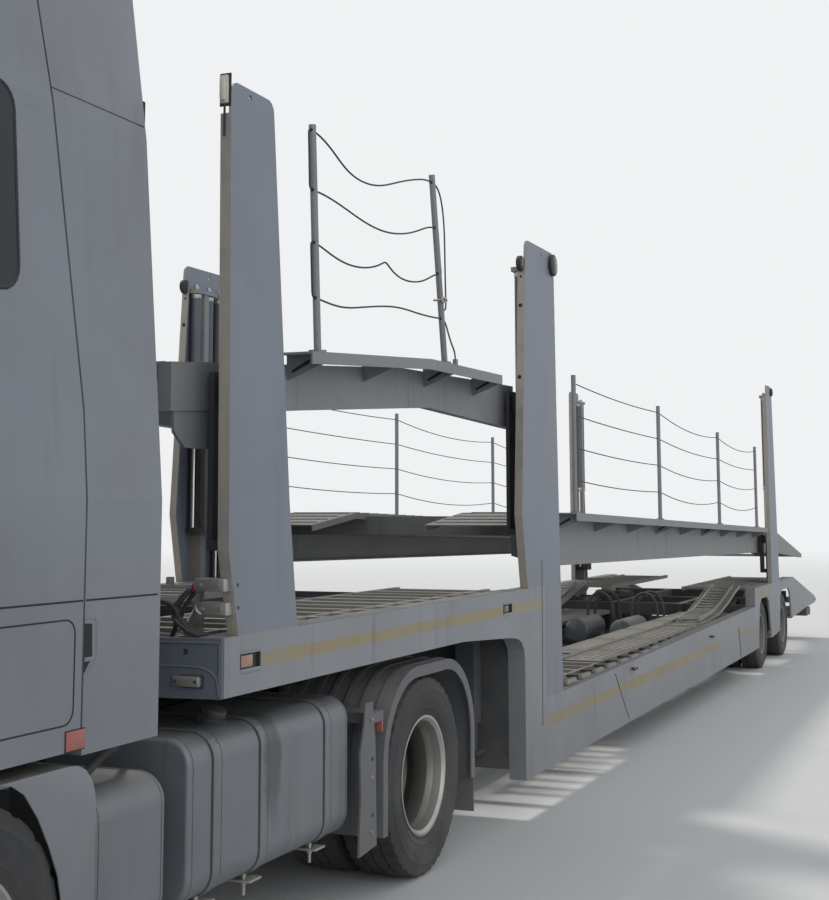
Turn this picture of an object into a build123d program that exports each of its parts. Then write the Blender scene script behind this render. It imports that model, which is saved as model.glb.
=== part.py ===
from build123d import *
from math import atan2, cos, degrees, pi, radians, sin, tan
import os

os.makedirs("parts", exist_ok=True)

# Car transporter lorry: a two-axle tractor and a two-axle semi-trailer with two lifting upper decks.
# Millimetres. +X points forwards, +Y to the lorry's left and +Z up. The origin is on the ground,
# halfway between the front bumper and the tail. Stations are measured ahead of the drive axle.

# Whole lorry
wheelbase = 3600
front_overhang = 1370
drive_to_tail = 15300
drive_x = (drive_to_tail - wheelbase - front_overhang) / 2
fit_gap = 0.5
guide_gap = 3


def ahead(distance):
    """X of a station that lies this far ahead of the drive axle."""
    return drive_x + distance


# Tractor frame, axles and coupling
rail_outside = 430
rail_bottom = 720
rail_height = 260
rail_flange = 80
rail_web = 12
rail_rear = -900
rail_front = wheelbase + 1100
rail_top = rail_bottom + rail_height
cross_member = 90
kingpin_ahead = 550
fifth_wheel_radius = 470
fifth_wheel_plate = 45
kingpin_radius = 25.4
kingpin_length = 84
steer_pivot_y = 880
steer_pin_radius = 24
spindle_radius = 36
hub_radius = 95

# Wheels: outer radius, seat radius, tyre width, half width at the beads and tyre pitch of a twin
tractor_tyre = dict(radius=500, seat=286, width=300, bead=118, pitch=335)
trailer_tyre = dict(radius=395, seat=222, width=235, bead=93, pitch=262)
tractor_wheel_face = 1245
rim_wall = 12
rim_lip = 16
rim_well = 14
disc_thickness = 14

# Cab
cab_rear = wheelbase - 550
cab_front = wheelbase + 1300
cab_bottom = 1050
cab_half_width = 1245
cab_wall = 45
cab_floor = 1300
belt_height = 1900
waist_height = 2200
roof_joint = 3200
roof_top = 3930
cab_corner = 260
panel_gap = 6
glass_thickness = 8
door_rear = wheelbase + 360
door_front = door_rear + 800
door_bottom = 1180
door_top = 3080
tilt_pin_ahead = cab_front + 35
tilt_pin_z = 1075
tilt_pin_radius = 14
tilt_lug_radius = 32
hinge_ahead = door_front + 3
hinge_y = 1232
hinge_leaf_depth = 42
hinge_radius = 10
hinge_pin_radius = 5
hinge_heights = (1320, 1840)
deflector_rear = cab_rear - 470
deflector_top = 3860
deflector_joint = 3300
rear_lean = 190
deflector_wall = 26
bumper_top = 1000
bumper_bottom = 330

# Trailer side frames
trailer_half = 1275
side_depth = 110
side_web = 20
neck_top = 1370
neck_bottom = 1140
neck_front = 2165
fifth_wheel_top = neck_bottom - fit_gap
nose_front = 2400
nose_half_width = 450
drop_face = -1530
low_bottom = 220
low_top_front = 660
low_top_rear = 750
step_face = -9950
bogie_top = 960
bogie_end = -13000
tail_end = -15160
trailer_axle_stations = (-10600, -12250)

# Lift posts and decks
post_plate = 12
post_lip = 50
post_top = 3590
rear_post_top = 3400
lip_end = 135
lift_barrel = 36
lift_rod = 20
lift_spread = 85
lift_y = trailer_half - 63
guide_half = 30
guide_inner = lift_y - 40
carriage_inner = trailer_half - 165
carriage_plate = 25
deck_side_gap = 15
deck_beam_outer = carriage_inner - deck_side_gap
deck_beam_width = 60
track_gap = 5
track_width = 610
track_outer = deck_beam_outer - deck_beam_width - track_gap
track_inner = track_outer - track_width
trailer_wheel_face = trailer_half - 35


def side_outline(points):
    """(ahead of the drive axle, height) pairs as points of an XZ sketch."""
    return [(ahead(x), z) for x, z in points]


def side_plane(y):
    """The XZ plane at this Y; a sketch on it extrudes towards -Y."""
    return Plane.XZ.offset(-y)


def upright_box(x, y, z, mode=Mode.ADD):
    """A box between two stations, two Y values and two heights."""
    with Locations(((ahead(x[0]) + ahead(x[1])) / 2, (y[0] + y[1]) / 2, (z[0] + z[1]) / 2)):
        Box(abs(x[1] - x[0]), abs(y[1] - y[0]), abs(z[1] - z[0]), mode=mode)


def cab_box(x, y, z, mode=Mode.ADD):
    """A box whose two stations are measured ahead of the front axle."""
    upright_box((wheelbase + x[0], wheelbase + x[1]), y, z, mode)


def add_boxes(rows, mode=Mode.ADD):
    """Boxes from (stations, Y values, heights) rows, joined to the part in one step."""
    boxes = []
    for x, y, z in rows:
        with Locations(((ahead(x[0]) + ahead(x[1])) / 2, (y[0] + y[1]) / 2, (z[0] + z[1]) / 2)):
            boxes.append(Box(abs(x[1] - x[0]), abs(y[1] - y[0]), abs(z[1] - z[0]), mode=Mode.PRIVATE))
    add(boxes, mode=mode)


def channel_plate(outline, y_outer, depth, web, top_radius=0):
    """A plate in side view with its edges turned inwards all round, open on its inner side."""
    with BuildPart() as plate:
        with BuildSketch(side_plane(y_outer)) as face:
            with BuildLine():
                Polyline(*side_outline(outline), close=True)
            make_face()
            if top_radius:
                fillet(face.vertices().group_by(Axis.Y)[-1], top_radius)
        extrude(amount=depth)
        with BuildSketch(side_plane(y_outer - web)):
            offset(face.sketch, amount=-web, kind=Kind.INTERSECTION)
        extrude(amount=depth, mode=Mode.SUBTRACT)
    return plate.part


def flat_plate(outline, y_outer, depth):
    """A plain plate in side view, from its outer Y inwards."""
    with BuildPart() as plate:
        with BuildSketch(side_plane(y_outer)):
            with BuildLine():
                Polyline(*side_outline(outline), close=True)
            make_face()
        extrude(amount=depth)
    return plate.part


def cross_cylinder(x, y, z, radius, mode=Mode.ADD):
    """A cylinder along Y between two Y values."""
    with Locations(Location((ahead(x), (y[0] + y[1]) / 2, z), (90, 0, 0))):
        Cylinder(radius, abs(y[1] - y[0]), mode=mode)


def post_cylinder(x, y, z, radius, mode=Mode.ADD):
    """An upright cylinder between two heights."""
    with Locations((ahead(x), y, (z[0] + z[1]) / 2)):
        Cylinder(radius, z[1] - z[0], mode=mode)


def save(part, name):
    part.label = name
    export_step(part, f"parts/{name}.step")


def height_on(edge, x):
    """Second coordinate of an outline at this first one; the outline runs from high x to low."""
    for (x0, z0), (x1, z1) in zip(edge, edge[1:]):
        if x1 <= x <= x0:
            return z0 + (z1 - z0) * (x - x0) / (x1 - x0)
    raise ValueError(x)


# Wheels
def tyre_section(size, middle):
    """Half section of one tyre as (radius, Y) points about its middle plane."""
    half = size["width"] / 2
    outer, seat = size["radius"], size["seat"]
    shoulder = 0.09 * outer
    bead = size["bead"]
    sidewall = seat + 0.55 * (outer - seat)
    side = [(seat, bead), (seat + rim_lip + 3, bead), (seat + rim_lip + 8, half - 10), (sidewall, half),
            (outer - shoulder / 2, half - 12), (outer, half - shoulder)]
    return [(r, middle + y) for r, y in side] + [(r, middle - y) for r, y in reversed(side)]


def make_tyres(name, size, station, side, middles):
    """The tyres of one wheel position. middles are measured outwards from the wheel's middle plane."""
    axle_z = size["radius"]
    with BuildPart() as tyres:
        for middle in middles:
            with BuildSketch(Plane((ahead(station), 0, axle_z))):
                with BuildLine():
                    Polyline(*tyre_section(size, side * middle), close=True)
                make_face()
            revolve(axis=Axis((ahead(station), 0, axle_z), (0, 1, 0)))
    save(tyres.part, name)


def revolve_about_axle(station, axle_z, points):
    """Revolves a closed (radius, Y) outline about the axle line at this station."""
    with BuildSketch(Plane((ahead(station), 0, axle_z))) as section:
        with BuildLine():
            Polyline(*points, close=True)
        make_face()
    revolve(section.sketch, axis=Axis((ahead(station), 0, axle_z), (0, 1, 0)))


def make_rim(name, size, station, side, barrels, hub):
    """One wheel's rim or joined pair of rims with its hub.

    barrels holds (middle, disc edge, disc root): where the barrel's middle plane lies, where the
    dished disc leaves the barrel and where it meets the hub. hub holds its two ends.
    """
    axle_z = size["radius"]
    seat = size["seat"] - fit_gap
    inside = seat - rim_wall
    half = size["bead"] + fit_gap + rim_wall
    bolt_circle = 0.62 * inside
    with BuildPart() as rim:
        for middle, disc_edge, disc_root in barrels:
            lip = seat + rim_lip
            outside = [(half, lip), (half - rim_wall, lip), (half - rim_wall, seat), (0.55 * half, seat - 6),
                       (0.3 * half, seat - rim_well)]
            bore = [(half, seat + 4), (half - rim_wall - 2, inside), (0.55 * half, inside - 6),
                    (0.3 * half, inside - rim_well)]
            outside += [(-y, r) for y, r in reversed(outside)]
            bore += [(-y, r) for y, r in reversed(bore)]
            barrel = [(r, middle + y) for y, r in outside + bore[::-1]]
            edge = min(height_on(bore, disc_edge + y - middle) for y in (0, disc_thickness)) + rim_wall / 2
            disc = [(edge, disc_edge), (edge, disc_edge + disc_thickness),
                    (bolt_circle, disc_root + disc_thickness), (hub_radius - 5, disc_root + disc_thickness),
                    (hub_radius - 5, disc_root), (bolt_circle, disc_root)]
            revolve_about_axle(station, axle_z, [(r, side * y) for r, y in barrel])
            revolve_about_axle(station, axle_z, [(r, side * y) for r, y in disc])
        hub_outline = [(spindle_radius + fit_gap, hub[0]), (hub_radius, hub[0]), (hub_radius, hub[1] - 45),
                       (hub_radius - 22, hub[1]), (0, hub[1]), (0, hub[1] - 18),
                       (spindle_radius + fit_gap, hub[1] - 18)]
        revolve_about_axle(station, axle_z, [(r, side * y) for r, y in hub_outline])
        with BuildSketch(Plane((ahead(station), 0, axle_z), x_dir=(1, 0, 0), z_dir=(0, side, 0))):
            with PolarLocations((inside + bolt_circle) / 2, 8):
                Circle(0.1 * inside)
        extrude(amount=tractor_wheel_face + 200, mode=Mode.SUBTRACT)
    save(rim.part, name)


# One row per wheel position: name, station, tyre size, outer face, twin
wheel_positions = [
    ("front", wheelbase, tractor_tyre, tractor_wheel_face, False),
    ("drive", 0, tractor_tyre, tractor_wheel_face, True),
    ("trailer_front", trailer_axle_stations[0], trailer_tyre, trailer_wheel_face, True),
    ("trailer_rear", trailer_axle_stations[1], trailer_tyre, trailer_wheel_face, True),
]
for place, station, size, face, twin in wheel_positions:
    outer = face - size["width"] / 2
    inner = outer - size["pitch"]
    middle = (outer + inner) / 2
    if twin:
        middles = (outer, inner)
        barrels = [(outer, outer - 0.3 * size["width"], middle), (inner, inner + 0.3 * size["width"] - disc_thickness, middle - disc_thickness)]
        hub = (middle - 75, middle + 85)
    else:
        middles = (outer,)
        barrels = [(outer, outer + 0.05 * size["width"], outer + 0.2 * size["width"])]
        hub = (outer - 70, outer + 0.4 * size["width"])
    for side, word in ((1, "left"), (-1, "right")):
        make_tyres(f"tyre_{place}_{word}", size, station, side, middles)
        make_rim(f"rim_{place}_{word}", size, station, side, barrels, hub)

# Steering knuckles: the upright turns about the steering pin and carries the spindle
front_wheel_middle = tractor_wheel_face - tractor_tyre["width"] / 2
front_spindle_end = front_wheel_middle + 0.4 * tractor_tyre["width"] - 18 - fit_gap
front_axle_z = tractor_tyre["radius"]
for side, word in ((1, "left"), (-1, "right")):
    with BuildPart() as knuckle:
        cross_cylinder(wheelbase, (side * (steer_pivot_y + 50), side * front_spindle_end), front_axle_z,
                       spindle_radius)
        post_cylinder(wheelbase, side * steer_pivot_y, (front_axle_z - 150, front_axle_z - 72), 45)
        post_cylinder(wheelbase, side * steer_pivot_y, (front_axle_z + 72, front_axle_z + 150), 45)
        upright_box((wheelbase - 40, wheelbase + 40), (side * (steer_pivot_y + 46), side * (steer_pivot_y + 76)),
                    (front_axle_z - 150, front_axle_z + 150))
        for z in (-150, 72):
            upright_box((wheelbase - 40, wheelbase + 40), (side * steer_pivot_y, side * (steer_pivot_y + 60)),
                        (front_axle_z + z, front_axle_z + z + 78))
        post_cylinder(wheelbase, side * steer_pivot_y, (front_axle_z - 151, front_axle_z + 151),
                      steer_pin_radius + fit_gap, mode=Mode.SUBTRACT)
    save(knuckle.part, f"knuckle_{word}")

# Front axle: a dropped beam on leaf springs, with an eye for each steering pin
spring_half = 720
with BuildPart() as front_axle:
    for side in (1, -1):
        upright_box((wheelbase - 48, wheelbase + 48), (side * 560, side * (steer_pivot_y - 10)),
                    (front_axle_z - 60, front_axle_z + 60))
        post_cylinder(wheelbase, side * steer_pivot_y, (front_axle_z - 70, front_axle_z + 70), 40)
        post_cylinder(wheelbase, side * steer_pivot_y, (front_axle_z - 160, front_axle_z + 160),
                      steer_pin_radius)
        upright_box((wheelbase - 55, wheelbase + 55), (side * 385, side * 475),
                    (front_axle_z - 60, front_axle_z + 85))
        with BuildSketch(side_plane(side * rail_outside - 35 if side < 0 else rail_outside + 35)):
            with BuildLine():
                low = ThreePointArc((ahead(wheelbase - spring_half), 684), (ahead(wheelbase), front_axle_z + 80),
                                    (ahead(wheelbase + spring_half), 684))
                high = ThreePointArc((ahead(wheelbase - spring_half), 704), (ahead(wheelbase), front_axle_z + 115),
                                     (ahead(wheelbase + spring_half), 704))
                Line(low @ 0, high @ 0)
                Line(low @ 1, high @ 1)
            make_face()
        extrude(amount=70 if side > 0 else -70)
        for x in (-spring_half + 30, spring_half - 30):
            upright_box((wheelbase + x - 30, wheelbase + x + 30), (side * (rail_outside - 35), side * (rail_outside + 35)),
                        (690, rail_bottom))
    upright_box((wheelbase - 48, wheelbase + 48), (-570, 570), (front_axle_z - 110, front_axle_z - 10))
save(front_axle.part, "front_axle")

# Drive axle: round housing with the differential bowl, spindles and air springs
drive_spindle_end = (tractor_wheel_face - tractor_tyre["width"] / 2 - tractor_tyre["pitch"] / 2) + 85 - 18 - fit_gap
with BuildPart() as drive_axle:
    cross_cylinder(0, (-650, 650), front_axle_z, 75)
    cross_cylinder(0, (-drive_spindle_end, drive_spindle_end), front_axle_z, spindle_radius)
    with Locations((ahead(0), 0, front_axle_z)):
        Sphere(205)
    for side in (1, -1):
        upright_box((-420, 420), (side * 395, side * 465), (front_axle_z - 110, front_axle_z - 70))
        upright_box((-60, 60), (side * 395, side * 465), (front_axle_z - 75, front_axle_z + 20))
        for x in (-370, 370):
            post_cylinder(x, side * rail_outside, (front_axle_z - 70, rail_bottom), 95)
save(drive_axle.part, "drive_axle")

# Tractor frame: two channel rails with cross members, engine bearers and the coupling's base
with BuildPart() as tractor_frame:
    for side in (1, -1):
        upright_box((rail_rear, rail_front), (side * (rail_outside - rail_web), side * rail_outside),
                    (rail_bottom, rail_top))
        for z in (rail_bottom, rail_top - rail_web):
            upright_box((rail_rear, rail_front), (side * (rail_outside - rail_flange), side * rail_outside),
                        (z, z + rail_web))
    for x in (rail_rear + 10, -380, 380, 1500, 2500, rail_front - 100):
        upright_box((x, x + cross_member), (-(rail_outside - rail_web), rail_outside - rail_web),
                    (rail_bottom + 60, rail_top - 60))
    for side in (1, -1):
        y = (side * 335, side * rail_outside)
        upright_box((rail_front - 100, rail_front + 180), y, (rail_top - 60, rail_top + 30))
        upright_box((rail_front + 130, rail_front + 180), y, (rail_top - 60, tilt_pin_z + 10))
        upright_box((rail_front + 130, tilt_pin_ahead), y, (bumper_top + 8, tilt_pin_z + 10))
        cross_cylinder(tilt_pin_ahead, y, tilt_pin_z, tilt_lug_radius)
        cross_cylinder(tilt_pin_ahead, (side * 260, side * 345), tilt_pin_z, tilt_pin_radius)
save(tractor_frame.part, "tractor_frame")

# Fifth wheel: a round bearing plate with the entry throat, on its pedestals
throat_half = kingpin_radius + fit_gap
with BuildPart() as fifth_wheel:
    post_cylinder(kingpin_ahead, 0, (fifth_wheel_top - fifth_wheel_plate, fifth_wheel_top), fifth_wheel_radius)
    upright_box((kingpin_ahead - 620, kingpin_ahead - 300), (-300, 300),
                (fifth_wheel_top - fifth_wheel_plate, fifth_wheel_top - 8))
    for side in (1, -1):
        upright_box((kingpin_ahead - 110, kingpin_ahead + 110), (side * (rail_outside - rail_flange), side * rail_outside),
                    (rail_top, fifth_wheel_top - fifth_wheel_plate + 5))
    upright_box((kingpin_ahead - 260, kingpin_ahead + 260), (-rail_outside, rail_outside), (rail_top, rail_top + 14))
    upright_box((kingpin_ahead - 700, kingpin_ahead), (-throat_half, throat_half), (rail_top + 20, fifth_wheel_top + 5),
                mode=Mode.SUBTRACT)
    with BuildSketch(Plane.XY.offset(rail_top + 20)):
        with BuildLine():
            Polyline((ahead(kingpin_ahead - 700), -240), (ahead(kingpin_ahead - 250), -throat_half),
                     (ahead(kingpin_ahead - 250), throat_half), (ahead(kingpin_ahead - 700), 240), close=True)
        make_face()
    extrude(amount=200, mode=Mode.SUBTRACT)
    post_cylinder(kingpin_ahead, 0, (rail_top + 20, fifth_wheel_top + 5), throat_half, mode=Mode.SUBTRACT)
save(fifth_wheel.part, "fifth_wheel")

# Engine: one block between the rails under the cab
with BuildPart() as engine:
    cab_box((-600, 850), (-(rail_outside - rail_flange - 20), rail_outside - rail_flange - 20), (640, 1030))
    cab_box((-500, -40), (-rail_outside + rail_web, rail_outside - rail_web), (rail_bottom + 70, rail_top - 70))
save(engine.part, "engine")

# Tanks: round-cornered boxes hung on the rails, fuel on both sides and a short tank behind the wheel
tank_bottom, tank_top, tank_outer = 380, 1000, 1200
tank_corner = 105
tank_end_radius = 22
with BuildPart() as tanks:
    for side in (1, -1):
        for x, top in (((870, 2280), tank_top), ((wheelbase - 1160, wheelbase - 710), tank_top - 90)):
            with BuildPart(mode=Mode.PRIVATE) as tank:
                upright_box(x, (side * 520, side * tank_outer), (tank_bottom, top))
                fillet(tank.edges().filter_by(Axis.X), tank_corner)
                fillet(tank.faces().filter_by(Axis.X).edges(), tank_end_radius)
            add(tank)
            upright_box((x[0] + 120, x[0] + 170), (side * rail_outside, side * 700), (640, 900))
            upright_box((x[1] - 170, x[1] - 120), (side * rail_outside, side * 700), (640, 900))
save(tanks.part, "tanks")

# Mudguards and skirts: drive guards, front arches and the panels beside the tail
def guard_band(outline, corner, thickness, y_outer, width):
    """A bent sheet that follows an open outline in a side view; y_outer is its greater Y."""
    with BuildPart() as band:
        with BuildSketch(side_plane(y_outer)):
            with BuildLine():
                FilletPolyline(*side_outline(outline), radius=corner)
            trace(line_width=thickness)
        extrude(amount=width)
    return band.part


# The drive guard's middle line, its corner radius and the depth of the lip on its outer edge
guard_sheet = 14
guard_lip = 52
guard_inner = 600
drive_guard = [(563, 300), (563, 1057), (-696, 1057), (-696, 380)]
drive_guard_lip = [(540, 300), (540, 1035), (-674, 1035), (-674, 380)]
front_guard = [(wheelbase - 645, 420), (wheelbase - 645, 1028), (wheelbase + 640, 1028), (wheelbase + 660, 560)]
skirt_outline = [(702, 955), (783, 955), (792, 862), (840, 725), (830, 538), (853, 268), (652, 287), (668, 760)]
with BuildPart() as mudguards:
    add(guard_band(drive_guard, 430, guard_sheet, tractor_wheel_face, tractor_wheel_face - guard_inner))
    add(guard_band(drive_guard_lip, 408, guard_lip, tractor_wheel_face, 9))
    add(guard_band(front_guard, 150, 12, tractor_wheel_face, tractor_wheel_face - 900))
    add(flat_plate(skirt_outline, 1247, 10))
    for x, z in ((705, 690), (700, 430)):
        cross_cylinder(x, (1200, 1260), z, 12, mode=Mode.SUBTRACT)
    add_boxes([((560, 700), (rail_outside, 1240), (850, 900)),
               ((-713, -701), (guard_inner + 20, 1235), (190, 420)),
               ((-40, 40), (rail_outside - rail_flange, guard_inner + 40), (1015, 1052)),
               ((-40, 40), (rail_outside - rail_flange, rail_outside), (rail_top, 1052)),
               ((wheelbase - 300, wheelbase - 260), (rail_outside - rail_flange, 905), (1012, 1034)),
               ((wheelbase - 300, wheelbase - 260), (rail_outside - rail_flange, rail_outside), (rail_top, 1034))])
    mirror(about=Plane.XZ)
save(mudguards.part, "mudguards")

# Bumper with the entry steps and lamp recesses
bumper_rear = ahead(wheelbase + 680)
bumper_front = ahead(wheelbase + front_overhang)
bumper_inside = cab_half_width - 50
bumper_corner = 240
with BuildPart() as bumper:
    with BuildSketch(Plane.XY.offset(bumper_bottom)):
        with BuildLine():
            FilletPolyline((bumper_rear, cab_half_width), (bumper_front, cab_half_width),
                           (bumper_front, -cab_half_width), (bumper_rear, -cab_half_width), radius=bumper_corner)
            Line((bumper_rear, -cab_half_width), (bumper_rear, cab_half_width))
        make_face()
    extrude(amount=bumper_top - bumper_bottom)
    with BuildSketch(Plane.XY.offset(bumper_bottom - 1)):
        with BuildLine():
            FilletPolyline((bumper_rear - 1, bumper_inside), (bumper_front - 70, bumper_inside),
                           (bumper_front - 70, -bumper_inside), (bumper_rear - 1, -bumper_inside),
                           radius=bumper_corner - 40)
            Line((bumper_rear - 1, -bumper_inside), (bumper_rear - 1, bumper_inside))
        make_face()
    extrude(amount=bumper_top, mode=Mode.SUBTRACT)
    for side in (1, -1):
        for z in (480, 790):
            cab_box((700, 1100), (side * 1010, side * 1200), (z, z + 40))
            cab_box((760, 1060), (side * 1150, side * 1300), (z + 40, z + 200), mode=Mode.SUBTRACT)
        cab_box((960, 1000), (side * rail_outside, side * 1200), (rail_bottom + 30, rail_bottom + 130))
        cab_box((1260, 1400), (side * 760, side * 1090), (560, 760), mode=Mode.SUBTRACT)
save(bumper.part, "bumper")
with BuildPart() as headlamps:
    for side in (1, -1):
        cab_box((1250, 1360), (side * 760.3, side * 1089.7), (560.3, 759.7))
save(headlamps.part, "headlamps")

def door_hinges(side, on_door):
    """Hinge knuckles at the door's front edge: one on the door between two with the pin on the shell."""
    for z in hinge_heights:
        y = (side * (hinge_y - hinge_leaf_depth), side * (hinge_y + 4))
        if on_door:
            upright_box((hinge_ahead - 34, hinge_ahead - 1), y, (z + 31, z + 69))
            post_cylinder(hinge_ahead, side * hinge_y, (z + 31, z + 69), hinge_radius)
            post_cylinder(hinge_ahead, side * hinge_y, (z + 30, z + 70), hinge_pin_radius + fit_gap,
                          mode=Mode.SUBTRACT)
        else:
            for low in (z, z + 70):
                upright_box((hinge_ahead + 1, hinge_ahead + 34), y, (low, low + 30))
                post_cylinder(hinge_ahead, side * hinge_y, (low, low + 30), hinge_radius)
            post_cylinder(hinge_ahead, side * hinge_y, (z, z + 100), hinge_pin_radius)


# Cab: the closed form is the common part of its side, front and plan outlines
cab_side = [(cab_rear, cab_bottom), (cab_front, cab_bottom), (cab_front, 1950), (cab_front - 260, 3050),
            (cab_front - 400, 3260), (cab_front - 940, 3800), (cab_front - 1300, roof_top),
            (cab_rear + rear_lean, roof_top), (cab_rear, waist_height)]
cab_tumblehome = [(cab_half_width, cab_bottom), (cab_half_width, belt_height), (cab_half_width - 99, 3250),
                  (cab_half_width - 177, 3820), (cab_half_width - 260, roof_top)]


def cab_form(inset, rear, front_outline):
    """The cab's form with its faces moved inwards by the inset, between its rear and a side outline."""
    across = [(y, z) for y, z in cab_tumblehome] + [(-y, z) for y, z in reversed(cab_tumblehome)]
    with BuildPart() as form:
        with BuildSketch(side_plane(cab_half_width + 50)):
            with BuildLine():
                Polyline(*side_outline(front_outline), close=True)
            make_face()
            if inset:
                offset(amount=-inset, kind=Kind.INTERSECTION, mode=Mode.REPLACE)
        extrude(amount=2 * cab_half_width + 100)
        with BuildSketch(Plane.YZ.offset(ahead(rear - 50))):
            with BuildLine():
                Polyline(*across, close=True)
            make_face()
            if inset:
                offset(amount=-inset, kind=Kind.INTERSECTION, mode=Mode.REPLACE)
        extrude(amount=2600, mode=Mode.INTERSECT)
        with BuildSketch(Plane.XY.offset(cab_bottom - 50)):
            with BuildLine():
                FilletPolyline((ahead(rear - 40), cab_half_width), (ahead(cab_front), cab_half_width),
                               (ahead(cab_front), -cab_half_width), (ahead(rear - 40), -cab_half_width),
                               radius=cab_corner)
                Line((ahead(rear - 40), -cab_half_width), (ahead(rear - 40), cab_half_width))
            make_face()
            if inset:
                offset(amount=-inset, kind=Kind.INTERSECTION, mode=Mode.REPLACE)
        extrude(amount=roof_top, mode=Mode.INTERSECT)
    return form.part


cab_outer = cab_form(0, cab_rear, cab_side)
cab_inner = cab_form(cab_wall, cab_rear, cab_side)
cab_glass_inner = cab_form(glass_thickness, cab_rear, cab_side)

door_outline = [(door_rear, door_bottom + 420), (door_rear + 120, door_bottom), (door_front, door_bottom),
                (door_front, 1960), (door_front - 200, door_top), (door_rear, door_top)]
door_window = [(door_rear + 90, 2080), (door_front - 110, 2080), (door_front - 270, 2940),
               (door_rear + 90, 2940)]
sleeper_window = [(door_rear - 530, 2560), (door_rear - 120, 2560), (door_rear - 120, 3140),
                  (door_rear - 530, 3140)]
windscreen_band = (2040, 3030)


def side_prism(outline, gap, radius, y_low=600, y_high=1400, mirrored=True):
    """A prism through the cab's side along Y, its outline grown by the gap."""
    with BuildPart() as prism:
        with BuildSketch(side_plane(y_high)) as face:
            with BuildLine():
                FilletPolyline(*side_outline(outline), radius=radius, close=True)
            make_face()
            if gap:
                offset(amount=gap, mode=Mode.REPLACE)
        extrude(amount=y_high - y_low)
        if mirrored:
            mirror(about=Plane.XZ)
    return prism.part


with BuildPart() as windscreen_prism:
    with BuildSketch(Plane.YZ.offset(ahead(cab_front - 600))) as pane:
        with Locations((0, (windscreen_band[0] + windscreen_band[1]) / 2)):
            Trapezoid(2230, windscreen_band[1] - windscreen_band[0], 86)
        fillet(pane.vertices(), 70)
    extrude(amount=800)

with BuildPart() as cab_shell:
    add(cab_outer)
    add(cab_inner, mode=Mode.SUBTRACT)
    upright_box((cab_rear + 10, cab_front - 60), (-cab_half_width + 30, cab_half_width - 30), (cab_floor - 60, cab_floor))
    upright_box((cab_rear + cab_wall, cab_front - cab_wall), (100 - cab_half_width, cab_half_width - 100),
                (cab_bottom - 10, cab_floor - 60), mode=Mode.SUBTRACT)
    add(side_prism(door_outline, panel_gap, 60), mode=Mode.SUBTRACT)
    add(side_prism(sleeper_window, 0, 60), mode=Mode.SUBTRACT)
    add(windscreen_prism.part, mode=Mode.SUBTRACT)
    upright_box((cab_rear - 50, cab_front + 100), (-1400, 1400), (roof_joint, roof_top + 10), mode=Mode.SUBTRACT)
    upright_box((cab_rear - 50, cab_front - 500), (820, 1400), (cab_bottom - 5, cab_bottom + 30), mode=Mode.SUBTRACT)
    upright_box((cab_rear - 50, cab_front - 500), (-1400, -820), (cab_bottom - 5, cab_bottom + 30), mode=Mode.SUBTRACT)
    for side in (1, -1):
        upright_box((cab_front - 200, cab_front + 100), (side * 328, side * (rail_outside + 12)), (cab_bottom - 10, tilt_pin_z + 50),
                    mode=Mode.SUBTRACT)
        upright_box((cab_front - 30, tilt_pin_ahead), (side * 262, side * 322),
                    (tilt_pin_z - tilt_lug_radius, tilt_pin_z + tilt_lug_radius))
        cross_cylinder(tilt_pin_ahead, (side * 262, side * 322), tilt_pin_z, tilt_lug_radius)
        cross_cylinder(tilt_pin_ahead, (side * 200, side * 440), tilt_pin_z, tilt_pin_radius + fit_gap,
                       mode=Mode.SUBTRACT)
        door_hinges(side, on_door=False)
save(cab_shell.part, "cab_shell")

with BuildPart() as cab_roof:
    add(cab_outer)
    add(cab_inner, mode=Mode.SUBTRACT)
    upright_box((cab_rear - 50, cab_front + 100), (-1400, 1400), (cab_bottom - 10, roof_joint + 0.3), mode=Mode.SUBTRACT)
save(cab_roof.part, "cab_roof")

with BuildPart() as cab_glass:
    add(cab_outer)
    add(cab_glass_inner, mode=Mode.SUBTRACT)
    with BuildPart(mode=Mode.PRIVATE) as panes:
        add(windscreen_prism.part)
        add(side_prism(sleeper_window, 0, 60))
    add(panes.part, mode=Mode.INTERSECT)
save(cab_glass.part, "cab_glass")

for side, word in ((1, "left"), (-1, "right")):
    with BuildPart() as door:
        add(cab_outer)
        add(cab_inner, mode=Mode.SUBTRACT)
        add(side_prism(door_outline, 0, 60), mode=Mode.INTERSECT)
        upright_box((cab_rear - 50, cab_front + 100), (-side * 1500, side * 500), (1000, 4000), mode=Mode.SUBTRACT)
        add(side_prism(door_window, 0, 60), mode=Mode.SUBTRACT)
        cab_box((1050, 1090), (side * 1215, side * 1330), (2150, 2190))
        cab_box((935, 985), (side * 1175, side * 1330), (2800, 2840))
        cab_box((960, 1060), (side * 1300, side * 1510), (2120, 2870))
        door_hinges(side, on_door=True)
    save(door.part, f"door_{word}")
    with BuildPart() as door_glass:
        add(cab_outer)
        add(cab_glass_inner, mode=Mode.SUBTRACT)
        add(side_prism(door_window, 0, 60), mode=Mode.INTERSECT)
        upright_box((cab_rear - 50, cab_front + 100), (-side * 1500, side * 500), (1000, 4000), mode=Mode.SUBTRACT)
    save(door_glass.part, f"door_glass_{word}")

with BuildPart() as grille:
    upright_box((cab_front, cab_front + 24), (-720, 720), (1120, 1860))
    for z in range(1180, 1820, 90):
        upright_box((cab_front + 12, cab_front + 30), (-680, 680), (z, z + 30), mode=Mode.SUBTRACT)
save(grille.part, "grille")

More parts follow.
